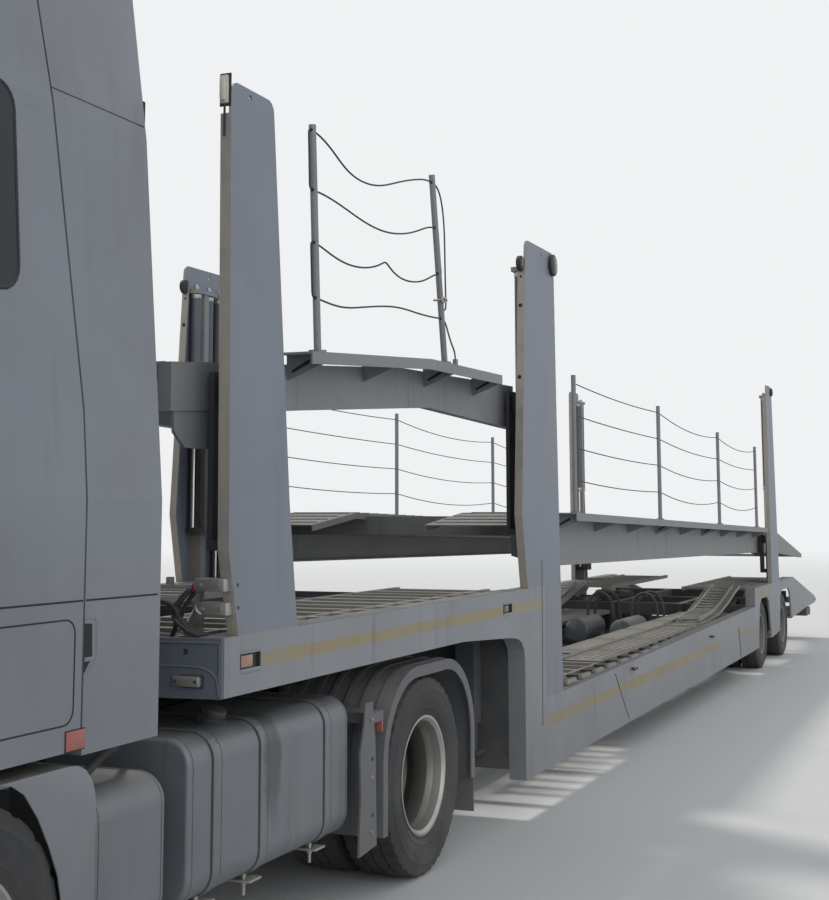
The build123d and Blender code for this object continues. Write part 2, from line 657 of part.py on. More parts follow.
# Side deflectors behind the cab, following the cab's own cross outline
deflector_front = cab_rear - 10
deflector_lean = rear_lean * (deflector_top - waist_height) / (roof_top - waist_height)
deflector_side = [(deflector_rear, cab_bottom + 10), (deflector_front, cab_bottom + 10),
                  (deflector_front, waist_height), (deflector_front + deflector_lean, deflector_top),
                  (deflector_rear, deflector_top)]
deflector_hollow = [(deflector_rear - 500, cab_bottom - 100), (cab_rear + 400, cab_bottom - 100),
                    (cab_rear + 400, roof_top + 100), (deflector_rear - 500, roof_top + 100)]
with BuildPart() as deflectors:
    add(cab_form(0, deflector_rear, deflector_side))
    add(cab_form(deflector_wall, deflector_rear, deflector_hollow), mode=Mode.SUBTRACT)
    upright_box((deflector_rear - 100, cab_rear + 300), (-1000, 1000), (cab_bottom - 50, roof_top),
                mode=Mode.SUBTRACT)
    upright_box((deflector_rear - 100, cab_rear + 300), (-cab_half_width, cab_half_width),
                (deflector_joint, deflector_joint + panel_gap), mode=Mode.SUBTRACT)
    for side in (1, -1):
        for z, y_outer in ((1200, 1225), (2000, 1225), (3000, 1145), (3500, 1095)):
            upright_box((cab_rear - 30, cab_rear + rear_lean), (side * 990, side * y_outer), (z, z + 60))
    add(cab_outer, mode=Mode.SUBTRACT)
save(deflectors.part, "deflectors")

with BuildPart() as seats:
    for side in (1, -1):
        cab_box((260, 740), (side * 420, side * 920), (1560, 1700))
        cab_box((160, 280), (side * 430, side * 910), (1650, 2380))
        cab_box((380, 620), (side * 540, side * 800), (cab_floor, 1565))
        cab_box((170, 260), (side * 550, side * 790), (2375, 2560))
    cab_box((-490, 80), (-1080, 1080), (cab_floor, 1800))
save(seats.part, "seats")
with BuildPart() as dashboard:
    cab_box((960, 1220), (-980, 980), (1560, 2000))
    cab_box((880, 1000), (-1199.7, 1199.7), (1600, 1900))
    with Locations(Location((ahead(wheelbase + 780), 670, 1960), (0, -35, 0))):
        Torus(215, 17)
        Cylinder(60, 40)
        Box(400, 40, 16)
    with Locations(Location((ahead(wheelbase + 840), 670, 1870), (0, -35, 0))):
        Cylinder(32, 220)
save(dashboard.part, "dashboard")

# Trailer side frames: pressed channels with their flanges turned inwards, cut out over the wheels
side_profile = [(neck_front, neck_top), (-1970, neck_top), (-1970, low_top_front), (step_face, low_top_rear),
                (step_face, bogie_top), (bogie_end, bogie_top), (-15100, 600), (tail_end, 575), (tail_end, 505), (-14200, 490),
                (-12900, 440), (-11400, 330), (-9930, 270), (drop_face, low_bottom), (drop_face, 940),
                (-1512, 1008), (-1462, 1056), (-1385, 1082), (-1250, 1097), (-450, neck_bottom),
                (neck_front, neck_bottom)]
wheel_arches = [(-10150, -11050, 820), (-11725, -12775, 840)]
# Lamp recesses in the outer face: front and rear stations, lower and upper edges
lamp_recesses = [(2040, 1870, 1220, 1305), (-1125, -1290, 1230, 1307)]
recess_depth = 14
with BuildPart() as side_frames:
    add(channel_plate(side_profile, trailer_half, side_depth, side_web))
    for front, rear, top in wheel_arches:
        arch = [(front + 20, 0), (front, 400), (front - 120, top - 60), (front - 260, top), (rear + 260, top),
                (rear + 120, top - 60), (rear, 400), (rear - 20, 0)]
        add(flat_plate(arch, trailer_half + 10, side_depth + 20), mode=Mode.SUBTRACT)
    for front, rear, low, high in lamp_recesses:
        upright_box((rear, front), (trailer_half - recess_depth, trailer_half + 1), (low, high), mode=Mode.SUBTRACT)
    mirror(about=Plane.XZ)
save(side_frames.part, "side_frames")

# Trailer cross frame: nose and coupler plates with the kingpin, the drop wall and the cross members
frame_inside = trailer_half - side_depth
nose_plate = 24
floor_plate = 16


def nose_outline(forward):
    """The neck's front edge in plan, from left to right, moved forwards where it meets the sides."""
    left = [(neck_front + forward, trailer_half), (neck_front + 32 + forward, trailer_half - 290),
            (nose_front - nose_plate + forward, nose_half_width)]
    return [(ahead(x), y) for x, y in left] + [(ahead(x), -y) for x, y in reversed(left)]


tread_depth = 40
neck_deck = neck_top - tread_depth
neck_members = (neck_front - 60, 1100, 0, -900)
low_members = (-1960, -3200, -4500, -5800, -7100, -8400, -9650)
bogie_members = (-9950, -11200, -13000)
tail_member = -14600
with BuildPart() as cross_frame:
    with BuildSketch(Plane.XY.offset(neck_bottom)):
        with BuildLine():
            Polyline(*nose_outline(0), close=True)
        make_face()
    extrude(amount=floor_plate)
    with BuildSketch(Plane.XY.offset(neck_bottom)):
        with BuildLine():
            Polyline(*nose_outline(nose_plate / 2))
        trace(line_width=nose_plate)
    extrude(amount=neck_top - neck_bottom)
    rows = [((-700, nose_front - 20), (-nose_half_width, nose_half_width), (neck_bottom, neck_bottom + floor_plate)),
            ((drop_face - 5, neck_front), (-frame_inside, frame_inside), (neck_bottom, neck_bottom + floor_plate)),
            ((drop_face - 16, drop_face), (-frame_inside, frame_inside), (low_bottom + 60, neck_deck))]
    for y in (-410, 410):
        rows.append(((drop_face - 5, nose_front - 10), (y - 8, y + 8), (neck_bottom, neck_deck)))
    for x in neck_members:
        rows.append(((x, x + 60), (-frame_inside, frame_inside), (neck_bottom, neck_deck)))
    for x in low_members:
        rows.append(((x - 80, x), (-frame_inside, frame_inside), (low_bottom + 90, low_bottom + 230)))
    for x in bogie_members:
        rows.append(((x - 80, x), (-frame_inside, frame_inside), (bogie_top - 330, bogie_top - 190)))
    rows.append(((tail_member - 80, tail_member), (-frame_inside, frame_inside), (520, 600)))
    for y in (-400, 400):
        across = (y - 40, y + 40)
        rows += [((-9950, drop_face + 10), across, (low_bottom + 110, low_bottom + 210)),
                 ((-13080, -9910), across, (bogie_top - 310, bogie_top - 190)),
                 ((-9990, -9910), across, (low_bottom + 110, bogie_top - 190)),
                 ((tail_member - 80, -13000), across, (540, 600)),
                 ((-13080, -13000), across, (540, bogie_top - 190))]
    add_boxes(rows)
    post_cylinder(kingpin_ahead, 0, (neck_bottom - kingpin_length, neck_bottom + 8), kingpin_radius)
save(cross_frame.part, "cross_frame")

# Trailer axles: tubes with spindles, each on two trailing arms
trailer_axle_z = trailer_tyre["radius"]
trailer_hub_middle = trailer_wheel_face - trailer_tyre["width"] / 2 - trailer_tyre["pitch"] / 2
trailer_spindle_end = trailer_hub_middle + 85 - 18 - fit_gap
with BuildPart() as trailer_axles:
    for x in trailer_axle_stations:
        cross_cylinder(x, (-690, 690), trailer_axle_z, 62)
        cross_cylinder(x, (-trailer_spindle_end, trailer_spindle_end), trailer_axle_z, spindle_radius)
        for side in (1, -1):
            upright_box((x - 60, x + 560), (side * 560, side * 640), (trailer_axle_z - 30, trailer_axle_z + 60))
            upright_box((x + 480, x + 560), (side * 360, side * 640), (trailer_axle_z + 20, bogie_top - 310))
save(trailer_axles.part, "trailer_axles")

# Lower treadways: rails and ladder rungs over the neck, the low floor and the bogie
rung_pitch = 260
rung_width = 60
tread_levels = [(neck_front - 20, -1500, neck_deck), (-2350, -9900, 640), (-9980, -12990, bogie_top - tread_depth)]
with BuildPart() as treadways:
    rows = []
    for x_front, x_rear, z in tread_levels:
        heights = (z, z + tread_depth)
        for y in (track_inner, track_outer):
            rows.append(((x_rear, x_front), (y, y + 30), heights))
        rows.append(((x_rear, x_front), (frame_inside - 24, frame_inside), heights))
        for i in range(int((x_front - x_rear) / rung_pitch)):
            x = x_front - rung_width - i * rung_pitch
            rows.append(((x - rung_width, x), (track_inner + 5, frame_inside - 5), (z + 10, z + tread_depth)))
    rows.append(((-9900, -4700), (track_inner + 40, track_outer - 60), (640 + tread_depth - 8, 640 + tread_depth)))
    for x in (-3240, -5800, -8400):
        for y in (track_inner, track_outer):
            rows.append(((x - 60, x - 10), (y + 5, y + 25), (low_bottom + 230, 645)))
    add_boxes(rows)
    mirror(about=Plane.XZ)
save(treadways.part, "treadways")

# Landing legs behind the tractor's tail
with BuildPart() as landing_legs:
    rows = [((-1450, -1390), (-900, 900), (760, 800))]
    for side in (1, -1):
        rows += [((-1480, -1360), (side * 880, side * 1000), (560, neck_bottom)),
                 ((-1465, -1375), (side * 895, side * 985), (400, 560)),
                 ((-1500, -1340), (side * 860, side * 1020), (380, 400))]
    add_boxes(rows)
save(landing_legs.part, "landing_legs")

# Underrun bar and the tail
with BuildPart() as underrun:
    rows = [((-15140, -14720), (-1200, 1200), (330, 440)),
            ((-15140, -14720), (-frame_inside, frame_inside), (560, 575))]
    for y in (-700, 700):
        rows.append(((-14850, -14750), (y - 50, y + 50), (430, 565)))
    add_boxes(rows)
save(underrun.part, "underrun")


def low_top(x):
    """Height of the low side frame's top edge."""
    share = (-1970 - x) / (-1970 - step_face)
    return low_top_front + share * (low_top_rear - low_top_front)


# Lift posts: front, middle and rear plates with their edges turned in
front_post = [(1550, neck_top), (1630, 1900), (1808, post_top), (2170, post_top), (2140, 1700), (2055, neck_top)]
middle_post = [(-1600, neck_top), (-1500, 1830), (-1630, post_top), (-2235, post_top), (-2260, 2600), (-2330, low_top(-2330) + 0.3), (-1975, low_top(-1975) + 0.3), (-1975, neck_top)]
rear_post = [(-11200, bogie_top), (-11200, rear_post_top), (-11610, rear_post_top), (-11800, bogie_top)]
# Lift columns by deck: the guide's station and foot, the barrels' two ends, and the carriage's
# foot, top and pin height at rest. A column without a pin only carries the deck's load beam.
deck_rise = dict(front=600, rear=950)
front_barrel_top = post_top - 200
rear_barrel_top = rear_post_top - 150
lift_columns = {
    "front": [
        dict(station=1930, foot=neck_top, gland=2400, top=front_barrel_top, low=1700, high=2420, pin=None),
        dict(station=-1785, foot=neck_top, gland=2400, top=front_barrel_top, low=1700, high=2620, pin=2520),
    ],
    "rear": [
        dict(station=-2105, foot=low_top_front + 5, gland=2020, top=front_barrel_top, low=790, high=1800,
             pin=None),
        dict(station=-11470, foot=bogie_top, gland=2100, top=rear_barrel_top, low=1080, high=1560, pin=1450),
    ],
}
all_columns = lift_columns["front"] + lift_columns["rear"]
post_corner = 55
post_hole_radius = 13
post_rows = [(front_post, post_top, [(2010, 3555)]), (middle_post, post_top, [(-1962, 3540)]),
             (rear_post, rear_post_top, [(-11400, 3355)])]
bracket_half = 130
bracket_depth = 30
barrel_end = 60
rod_reserve = 30
with BuildPart() as posts:
    for outline, top, holes in post_rows:
        add(channel_plate(outline, trailer_half, post_lip, post_plate, post_corner))
        ends = sorted(x for x, z in outline)
        upright_box((ends[0] - 5, ends[-1] + 5), (trailer_half - post_lip - 1, trailer_half - post_plate),
                    (top - lip_end, top + 1), mode=Mode.SUBTRACT)
        for x, z in holes:
            cross_cylinder(x, (trailer_half - post_lip, trailer_half + 5), z, post_hole_radius, mode=Mode.SUBTRACT)
    rows = []
    for column in all_columns:
        x, top = column["station"], column["top"]
        guide_y = (guide_inner, trailer_half - post_plate + 1)
        rows += [((x - guide_half, x + guide_half), guide_y, (column["foot"], top + bracket_depth)),
                 ((x - bracket_half, x + bracket_half), (guide_inner - 7, guide_y[1]), (top, top + bracket_depth))]
    add_boxes(rows)
    mirror(about=Plane.XZ)
save(posts.part, "posts")

with BuildPart() as lift_barrels:
    for column in all_columns:
        for dx in (-lift_spread, lift_spread):
            x = column["station"] + dx
            post_cylinder(x, lift_y, (column["gland"], column["top"]), lift_barrel)
            post_cylinder(x, lift_y, (column["gland"] - 1, column["top"] - barrel_end), lift_rod + 1,
                          mode=Mode.SUBTRACT)
    mirror(about=Plane.XZ)
save(lift_barrels.part, "lift_barrels")

# Carriages: a plate inside each post, hung on two rods and carrying the deck's pin
deck_pin_radius = 30
deck_pin_inner = deck_beam_outer - deck_beam_width - 30
carriage_half = 100
carriage_foot = 40
shoe_half = 34
plate_y = (carriage_inner, carriage_inner + carriage_plate)
for deck, columns in lift_columns.items():
    with BuildPart() as carriage:
        for column in columns:
            x, low, high = column["station"], column["low"], column["high"]
            foot_y = (carriage_inner + 5, lift_y + 25)
            add_boxes([((x - carriage_half, x + carriage_half), plate_y, (low, high)),
                       ((x - carriage_half - 12, x + carriage_half + 12), foot_y, (low, low + carriage_foot)),
                       ((x - shoe_half, x + shoe_half), (plate_y[1] - 1, guide_inner - guide_gap), (high - 120, high - 20))])
            notch = guide_half + guide_gap
            upright_box((x - notch, x + notch), (guide_inner - guide_gap, trailer_half + 25),
                        (low - 5, low + carriage_foot + 5), mode=Mode.SUBTRACT)
            rod_top = column["top"] - barrel_end - deck_rise[deck] - rod_reserve
            for dx in (-lift_spread, lift_spread):
                post_cylinder(x + dx, lift_y, (low + carriage_foot - 5, rod_top), lift_rod)
            if column["pin"]:
                cross_cylinder(x, (deck_pin_inner, carriage_inner + 5), column["pin"], deck_pin_radius)
        mirror(about=Plane.XZ)
    save(carriage.part, f"{deck}_deck_carriages")
front_deck_pin, rear_deck_pin = [(deck[1]["station"], deck[1]["pin"]) for deck in lift_columns.values()]


gusset_width = 14


def walkway(edge, lip_depth, gusset_stations, gusset_depth):
    """A narrow outer walkway along a deck: its plate, its turned-down lip and gussets below."""
    inner = deck_beam_outer - 5
    lower = [(x, z - lip_depth) for x, z in reversed(edge)]
    under = [(x, z - 10) for x, z in reversed(edge)]
    with BuildPart() as walk:
        add(flat_plate(edge + lower, trailer_half, 8))
        add(flat_plate(edge + under, trailer_half - 4, trailer_half - 4 - inner))
        for x in gusset_stations:
            z = height_on(edge, x)
            with BuildSketch(Plane.YZ.offset(ahead(x))):
                with BuildLine():
                    Polyline((inner, z - 5), (trailer_half - 4, z - 5), (trailer_half - 4, z - lip_depth),
                             (inner, z - gusset_depth), close=True)
                make_face()
            extrude(amount=gusset_width)
    return walk.part


def track(edge, depth):
    """A wheel track under a deck's top edge: a sheet with both edges turned down."""
    under = [(x, z - 8) for x, z in reversed(edge)]
    lower = [(x, z - depth) for x, z in reversed(edge)]
    with BuildPart() as sheet:
        add(flat_plate(edge + under, track_outer, track_outer - track_inner))
        for y in (track_outer, track_inner + 8):
            add(flat_plate(edge + lower, y, 8))
    return sheet.part


# Front upper deck: stepped side beams, wheel tracks, cross members and outer walkways
deck_front = 2295
front_deck_side = [(deck_front, 2246), (deck_front, 2440), (0, 2620), (-1880, 2665), (-1880, 2385), (-400, 2430),
                   (1330, 2306)]
front_deck_top = [(deck_front, 2440), (0, 2620), (-1880, 2665)]
nose_bracket = [(2262, 2255), (2250, 2165), (2170, 2108), (1850, 2108), (1820, 2275)]
front_walkway = [(1420, 2560), (0, 2660), (-1150, 2670)]
front_gussets = (1300, 480, -340, -1120)
rope_y = 1245
rope_lug = -430
rope_lug_top = 2700.5
front_members = ((2255, 2280), (1200, 2400), (0, 2500), (-1100, 2520), (-1700, 2540))
with BuildPart() as front_deck:
    add(channel_plate(front_deck_side, deck_beam_outer, deck_beam_width, 12))
    add(track(front_deck_top, 60))
    add(walkway(front_walkway, 56, front_gussets, 125))
    add(flat_plate(nose_bracket, deck_beam_outer - 8, 14))
    add_boxes([((x - 60, x + 40), (0, deck_beam_outer - 5), (z, z + 90)) for x, z in front_members])
    upright_box((rope_lug - 15, rope_lug + 15), (rope_y - 10, rope_y + 10), (2655, rope_lug_top))
    cross_cylinder(front_deck_pin[0], (1036, deck_beam_outer - 5), front_deck_pin[1], deck_pin_radius + 14)
    cross_cylinder(front_deck_pin[0], (1030, 1100), front_deck_pin[1], deck_pin_radius + fit_gap, mode=Mode.SUBTRACT)
    mirror(about=Plane.XZ)
save(front_deck.part, "front_deck")

# Rear upper deck: long side beams that fall to the tail, tracks, cross members and walkways
rear_deck_top = [(-1990, 1760), (-2700, 1840), (-11200, 1630), (-12700, 1580), (-15200, 1200)]
rear_deck_bottom = [(-15200, 1150), (-12700, 1290), (-11200, 1330), (-2700, 1470), (-1990, 1560)]
rear_walkway = [(-2720, 1839), (-11000, 1635)]
rear_gussets = [-2800 - i * 1020 for i in range(9)]
rear_members = [-2900 - i * 1150 for i in range(9)]
with BuildPart() as rear_deck:
    add(channel_plate(rear_deck_top + rear_deck_bottom, deck_beam_outer, deck_beam_width, 12))
    add(track(rear_deck_top, 45))
    add(walkway(rear_walkway, 56, rear_gussets, 125))
    rows = []
    for x in rear_members:
        z = height_on(rear_deck_top, x - 70)
        rows.append(((x - 70, x), (0, deck_beam_outer - 5), (z - 160, z - 20)))
    rows.append(((-15180, -15100), (0, deck_beam_outer - 5), (1160, 1195)))
    add_boxes(rows)
    cross_cylinder(rear_deck_pin[0], (1036, deck_beam_outer - 5), rear_deck_pin[1], deck_pin_radius + 14)
    cross_cylinder(rear_deck_pin[0], (1030, 1100), rear_deck_pin[1], deck_pin_radius + fit_gap, mode=Mode.SUBTRACT)
    mirror(about=Plane.XZ)
save(rear_deck.part, "rear_deck")

# Rail posts: round tubes on foot plates that follow the walkway, drilled along X for the ropes.
# One row per post: foot station, top station, top height, rope levels
rail_radius = 17
rail_foot = 40
rail_foot_plate = 10
rope_hole_radius = 9
rail_rows = {
    "front_deck_rails": (front_walkway, [
        (1311, 1380, 3602, (3576, 3301, 3062, 2811)),
        (-265, -82, 3684, (3640, 3395, 3147, 2905)),
    ]),
    "rear_deck_rails": (rear_walkway, [
        (-2780, -2780, 2810, ()),
        (-5400, -5400, 2760, ()),
        (-8100, -8100, 2660, ()),
        (-10400, -10400, 2600, ()),
    ]),
}
for name, (edge, rows) in rail_rows.items():
    with BuildPart() as rails:
        for x, x_top, z_top, levels in rows:
            z = height_on(edge, x)
            lean = atan2(x_top - x, z_top - z)
            length = (z_top - z) / cos(lean)
            with Locations(Location((ahead((x + x_top) / 2), rope_y, (z + z_top) / 2), (0, degrees(lean), 0))):
                Cylinder(rail_radius, length)
            for level in levels:
                with Locations(Location((ahead(x + (level - z) * tan(lean)), rope_y, level), (0, 90, 0))):
                    Cylinder(rope_hole_radius, 3 * rail_radius, mode=Mode.SUBTRACT)
            seat = [(x + dx, height_on(edge, x + dx) + 0.3) for dx in (rail_foot, -rail_foot)]
            top = [(px, pz + rail_foot_plate) for px, pz in reversed(seat)]
            below = [(px, pz - 80) for px, pz in reversed(seat)]
            add(flat_plate(seat + top, rope_y + 25, 50))
            add(flat_plate(seat + below, rope_y + 30, 60), mode=Mode.SUBTRACT)
        mirror(about=Plane.XZ)
    save(rails.part, name)

# Slack ropes: one line a side, threaded through the front deck's two posts at four levels.
# The route runs up behind the rear post, forwards, down the front post's face and back, twice over.
# (ahead of the drive axle, height) points, chosen by eye; the last is the lug on the walkway.
rope_radius = 4.5
rope_route = [
    (-234, 2950), (-284, 2953), (-287, 3020), (-280, 3110), (-276, 3210), (-273, 3310), (-268, 3400),
    (-254, 3480), (-232, 3550), (-196, 3605), (-148, 3636), (-90, 3641), (-20, 3640), (60, 3629),
    (160, 3606), (270, 3578), (380, 3546), (490, 3512), (600, 3481), (710, 3461), (815, 3453),
    (915, 3456), (1005, 3472), (1085, 3498), (1160, 3528), (1235, 3553), (1310, 3570), (1372, 3576),
    (1416, 3577), (1413, 3530), (1408, 3440), (1404, 3350), (1400, 3301), (1355, 3301), (1285, 3303),
    (1180, 3298), (1065, 3287), (950, 3273), (835, 3260), (720, 3252), (605, 3251), (495, 3258),
    (390, 3272), (290, 3291), (195, 3314), (105, 3341), (20, 3369), (-60, 3389), (-135, 3396),
    (-173, 3394), (-181, 3340), (-196, 3260), (-208, 3192), (-222, 3150), (-180, 3149), (-100, 3128),
    (-20, 3098), (70, 3071), (165, 3053), (265, 3044), (360, 3046), (445, 3062), (510, 3086),
    (548, 3101), (590, 3086), (655, 3063), (740, 3042), (840, 3026), (945, 3018), (1050, 3020),
    (1150, 3031), (1240, 3047), (1305, 3058), (1345, 3062), (1385, 3063), (1383, 3018), (1377, 2935),
    (1372, 2855), (1367, 2811), (1325, 2811), (1262, 2808), (1165, 2803), (1060, 2804), (950, 2815),
    (840, 2832), (725, 2850), (610, 2867), (495, 2881), (380, 2890), (265, 2893), (150, 2892),
    (40, 2893), (-65, 2896), (-155, 2901), (-226, 2905), (-262, 2899), (-298, 2868), (-330, 2824),
    (-366, 2786), (-402, 2757), (-426, 2729), (-430, 2701.3),
]


def corner_radii(points):
    """The largest arc that each corner's two runs allow, from 0.45 of the shorter run."""
    radii = []
    for before, corner, after in zip(points, points[1:], points[2:]):
        into, out = Vector(*corner) - Vector(*before), Vector(*after) - Vector(*corner)
        turn = radians(into.get_angle(out))
        radii.append(0.45 * min(into.length, out.length) / tan(turn / 2))
    return radii


for side, word in ((1, "left"), (-1, "right")):
    route = [(ahead(x), side * rope_y, z) for x, z in rope_route]
    radii = corner_radii(route)
    with BuildPart() as rope:
        with BuildLine() as line:
            FilletPolyline(*route, radius=radii)
        with BuildSketch(Plane(origin=line.line @ 0, z_dir=line.line % 0)):
            Circle(rope_radius)
        sweep()
    rope_length = sum(edge.length for edge in line.edges())
    print(f"rope_{word}: tightest radii", [round(r) for r in sorted(radii)[:8]], "length", round(rope_length),
          "volume over section times length", round(rope.part.volume / (pi * rope_radius ** 2 * rope_length), 4))
    save(rope.part, f"rope_{word}")

# Marker lamps on the front posts and at the tail
with BuildPart() as marker_lamps:
    for side in (1, -1):
        upright_box((2169.45, 2205), (side * 1228, side * 1268), (3490, 3612))
        upright_box((-drive_to_tail, tail_end - 0.3), (side * 1180, side * 1270), (520, 560))
save(marker_lamps.part, "marker_lamps")
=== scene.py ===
import math

import bmesh
import bpy
from mathutils import Matrix, Vector


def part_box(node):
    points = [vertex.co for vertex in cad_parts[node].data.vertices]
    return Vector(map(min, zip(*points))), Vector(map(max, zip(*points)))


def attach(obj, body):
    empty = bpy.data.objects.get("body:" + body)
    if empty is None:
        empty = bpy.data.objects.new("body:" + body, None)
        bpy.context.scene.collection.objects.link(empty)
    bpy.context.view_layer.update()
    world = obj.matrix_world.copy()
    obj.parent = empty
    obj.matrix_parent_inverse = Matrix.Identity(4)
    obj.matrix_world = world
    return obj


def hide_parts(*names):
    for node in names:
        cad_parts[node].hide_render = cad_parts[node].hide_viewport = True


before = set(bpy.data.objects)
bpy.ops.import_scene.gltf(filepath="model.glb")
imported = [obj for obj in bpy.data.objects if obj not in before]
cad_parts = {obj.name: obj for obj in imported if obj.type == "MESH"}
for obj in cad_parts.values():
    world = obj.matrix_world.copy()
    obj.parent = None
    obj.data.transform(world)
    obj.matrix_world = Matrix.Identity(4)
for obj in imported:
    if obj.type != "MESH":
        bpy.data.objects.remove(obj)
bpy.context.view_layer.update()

# Lengths in metres. Stations are measured ahead of the drive axle, whose place the frame gives.
axle_low, axle_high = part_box("drive_axle")
axle_x = (axle_low.x + axle_high.x) / 2
words = {1: "left", -1: "right"}
forwards, outwards, downwards = (1, 0, 0), (0, 1, 0), (0, 0, -1)


def at(ahead):
    """X of a station that lies this far ahead of the drive axle."""
    return axle_x + ahead


def new_object(name, data):
    """An object at the origin, in the scene."""
    holder = bpy.data.objects.new(name, data)
    bpy.context.scene.collection.objects.link(holder)
    return holder


# Camera: the photograph's viewpoint, solved from the trailer's straight edges
picture_height = 900
camera_place = Vector((at(7.1594), 4.1414, 1.8605))
camera_yaw, camera_pitch, camera_roll = 0.3928, 0.1228, -0.0019
focal_pixels = 1451.86
optical_centre_row = 330.68
sensor = 36

forward = Vector((-math.cos(camera_yaw) * math.cos(camera_pitch),
                  -math.sin(camera_yaw) * math.cos(camera_pitch), math.sin(camera_pitch)))
level_right = forward.cross(Vector((0, 0, 1))).normalized()
level_up = level_right.cross(forward)
camera_right = math.cos(camera_roll) * level_right + math.sin(camera_roll) * level_up
camera_up = camera_right.cross(forward)
camera_data = bpy.data.cameras.new("camera")
camera_data.sensor_width = sensor
camera_data.lens = focal_pixels / picture_height * sensor
camera_data.shift_y = (optical_centre_row - picture_height / 2) / picture_height
camera = new_object("camera", camera_data)
camera.matrix_world = Matrix((camera_right, camera_up, -forward)).transposed().to_4x4()
camera.location = camera_place
bpy.context.scene.camera = camera


# Node helpers
def put(tree, kind, values=None, **settings):
    """Adds a node; values are its inputs by name or number, either plain or another node's socket."""
    node = tree.nodes.new(kind)
    for name, value in settings.items():
        setattr(node, name, value)
    for name, value in (values or {}).items():
        if isinstance(value, bpy.types.NodeSocket):
            tree.links.new(value, node.inputs[name])
        else:
            node.inputs[name].default_value = value
    return node


def math_node(tree, operation, first, second=0.5, clamp=False):
    return put(tree, "ShaderNodeMath", {0: first, 1: second}, operation=operation, use_clamp=clamp).outputs[0]


def times(tree, first, second, clamp=False):
    return math_node(tree, "MULTIPLY", first, second, clamp)


def plus(tree, first, second, clamp=False):
    return math_node(tree, "ADD", first, second, clamp)


def minus(tree, first, second, clamp=False):
    return math_node(tree, "SUBTRACT", first, second, clamp)


def spread(tree, value, low, high, to_low=0.0, to_high=1.0):
    """Maps low..high of a value to a mask, eased at both ends."""
    return put(tree, "ShaderNodeMapRange", {"Value": value, "From Min": low, "From Max": high,
                                            "To Min": to_low, "To Max": to_high},
               interpolation_type="SMOOTHSTEP").outputs["Result"]


def noise(tree, vector, scale, detail=4.0, roughness=0.55):
    values = {"Vector": vector, "Scale": scale, "Detail": detail, "Roughness": roughness}
    return put(tree, "ShaderNodeTexNoise", values).outputs["Fac"]


def own(tree, socket="Object"):
    """The piece's own place, or its own Normal, so that a pattern stays put when a body moves."""
    return put(tree, "ShaderNodeTexCoord").outputs[socket]


def axes(tree, vector):
    return put(tree, "ShaderNodeSeparateXYZ", {0: vector}).outputs


def blend_colours(tree, mask, first, second):
    node = put(tree, "ShaderNodeMix", data_type="RGBA")
    for socket, value in zip((node.inputs[0], node.inputs[6], node.inputs[7]), (mask, first, second)):
        if isinstance(value, bpy.types.NodeSocket):
            tree.links.new(value, socket)
        else:
            socket.default_value = value if socket.type != "RGBA" else (*value, 1)
    return node.outputs[2]


def new_group(name, inputs, outputs):
    """A shader node group; inputs are (name, default) and outputs are names, all plain values."""
    group = bpy.data.node_groups.new(name, "ShaderNodeTree")
    for label, default in inputs:
        socket = group.interface.new_socket(name=label, in_out="INPUT", socket_type="NodeSocketFloat")
        socket.default_value = default
    for label in outputs:
        group.interface.new_socket(name=label, in_out="OUTPUT", socket_type="NodeSocketFloat")
    return group, group.nodes.new("NodeGroupInput").outputs, group.nodes.new("NodeGroupOutput").inputs


def group_outputs(tree, group, **values):
    """The outputs of a group placed in a tree; keywords stand for its inputs, with _ for a space."""
    sockets = {name.replace("_", " ").capitalize(): value for name, value in values.items()}
    return put(tree, "ShaderNodeGroup", sockets, node_tree=group).outputs


def road_dust_group():
    """Dust that settles on upward faces and climbs from the road, broken up by noise."""
    tree, into, out = new_group("road dust", [("Amount", 0.5), ("Top", 1.2), ("Scale", 3.0)], ["Mask"])
    place = own(tree)
    patches = noise(tree, place, into["Scale"], 5, 0.62)
    fine = noise(tree, place, 60.0, 3, 0.7)
    low = minus(tree, 1.0, math_node(tree, "DIVIDE", axes(tree, place)["Z"], into["Top"]), clamp=True)
    flat = spread(tree, axes(tree, own(tree, "Normal"))["Z"], 0.2, 0.95, 0.0, 0.75)
    reach = plus(tree, times(tree, low, 0.55), flat)
    broken = times(tree, reach, spread(tree, patches, 0.3, 0.72, 0.35, 1.25))
    grainy = times(tree, broken, spread(tree, fine, 0.25, 0.75, 0.75, 1.2))
    tree.links.new(times(tree, grainy, into["Amount"], clamp=True), out["Mask"])
    return tree


def rain_streak_group():
    """Dirt that rain has drawn down an upright panel in thin runs."""
    tree, into, out = new_group("rain streaks", [("Amount", 0.4), ("Width", 9.0)], ["Mask"])
    place = own(tree)
    drawn = put(tree, "ShaderNodeMapping", {"Vector": place, "Scale": (1, 1, 0.045)}).outputs[0]
    runs = noise(tree, drawn, into["Width"], 4, 0.65)
    mask = times(tree, spread(tree, runs, 0.5, 0.78), spread(tree, noise(tree, place, 1.7, 3), 0.36, 0.68))
    tree.links.new(times(tree, mask, into["Amount"], clamp=True), out["Mask"])
    return tree


def chip_group():
    """Small chips and scuffs, in clusters."""
    tree, into, out = new_group("paint chips", [("Amount", 0.3), ("Scale", 45.0)], ["Mask"])
    place = own(tree)
    chips = noise(tree, place, into["Scale"], 2, 0.5)
    cluster = noise(tree, place, 2.4, 4, 0.6)
    mask = times(tree, spread(tree, chips, 0.66, 0.7), spread(tree, cluster, 0.5, 0.66))
    tree.links.new(times(tree, mask, into["Amount"], clamp=True), out["Mask"])
    return tree


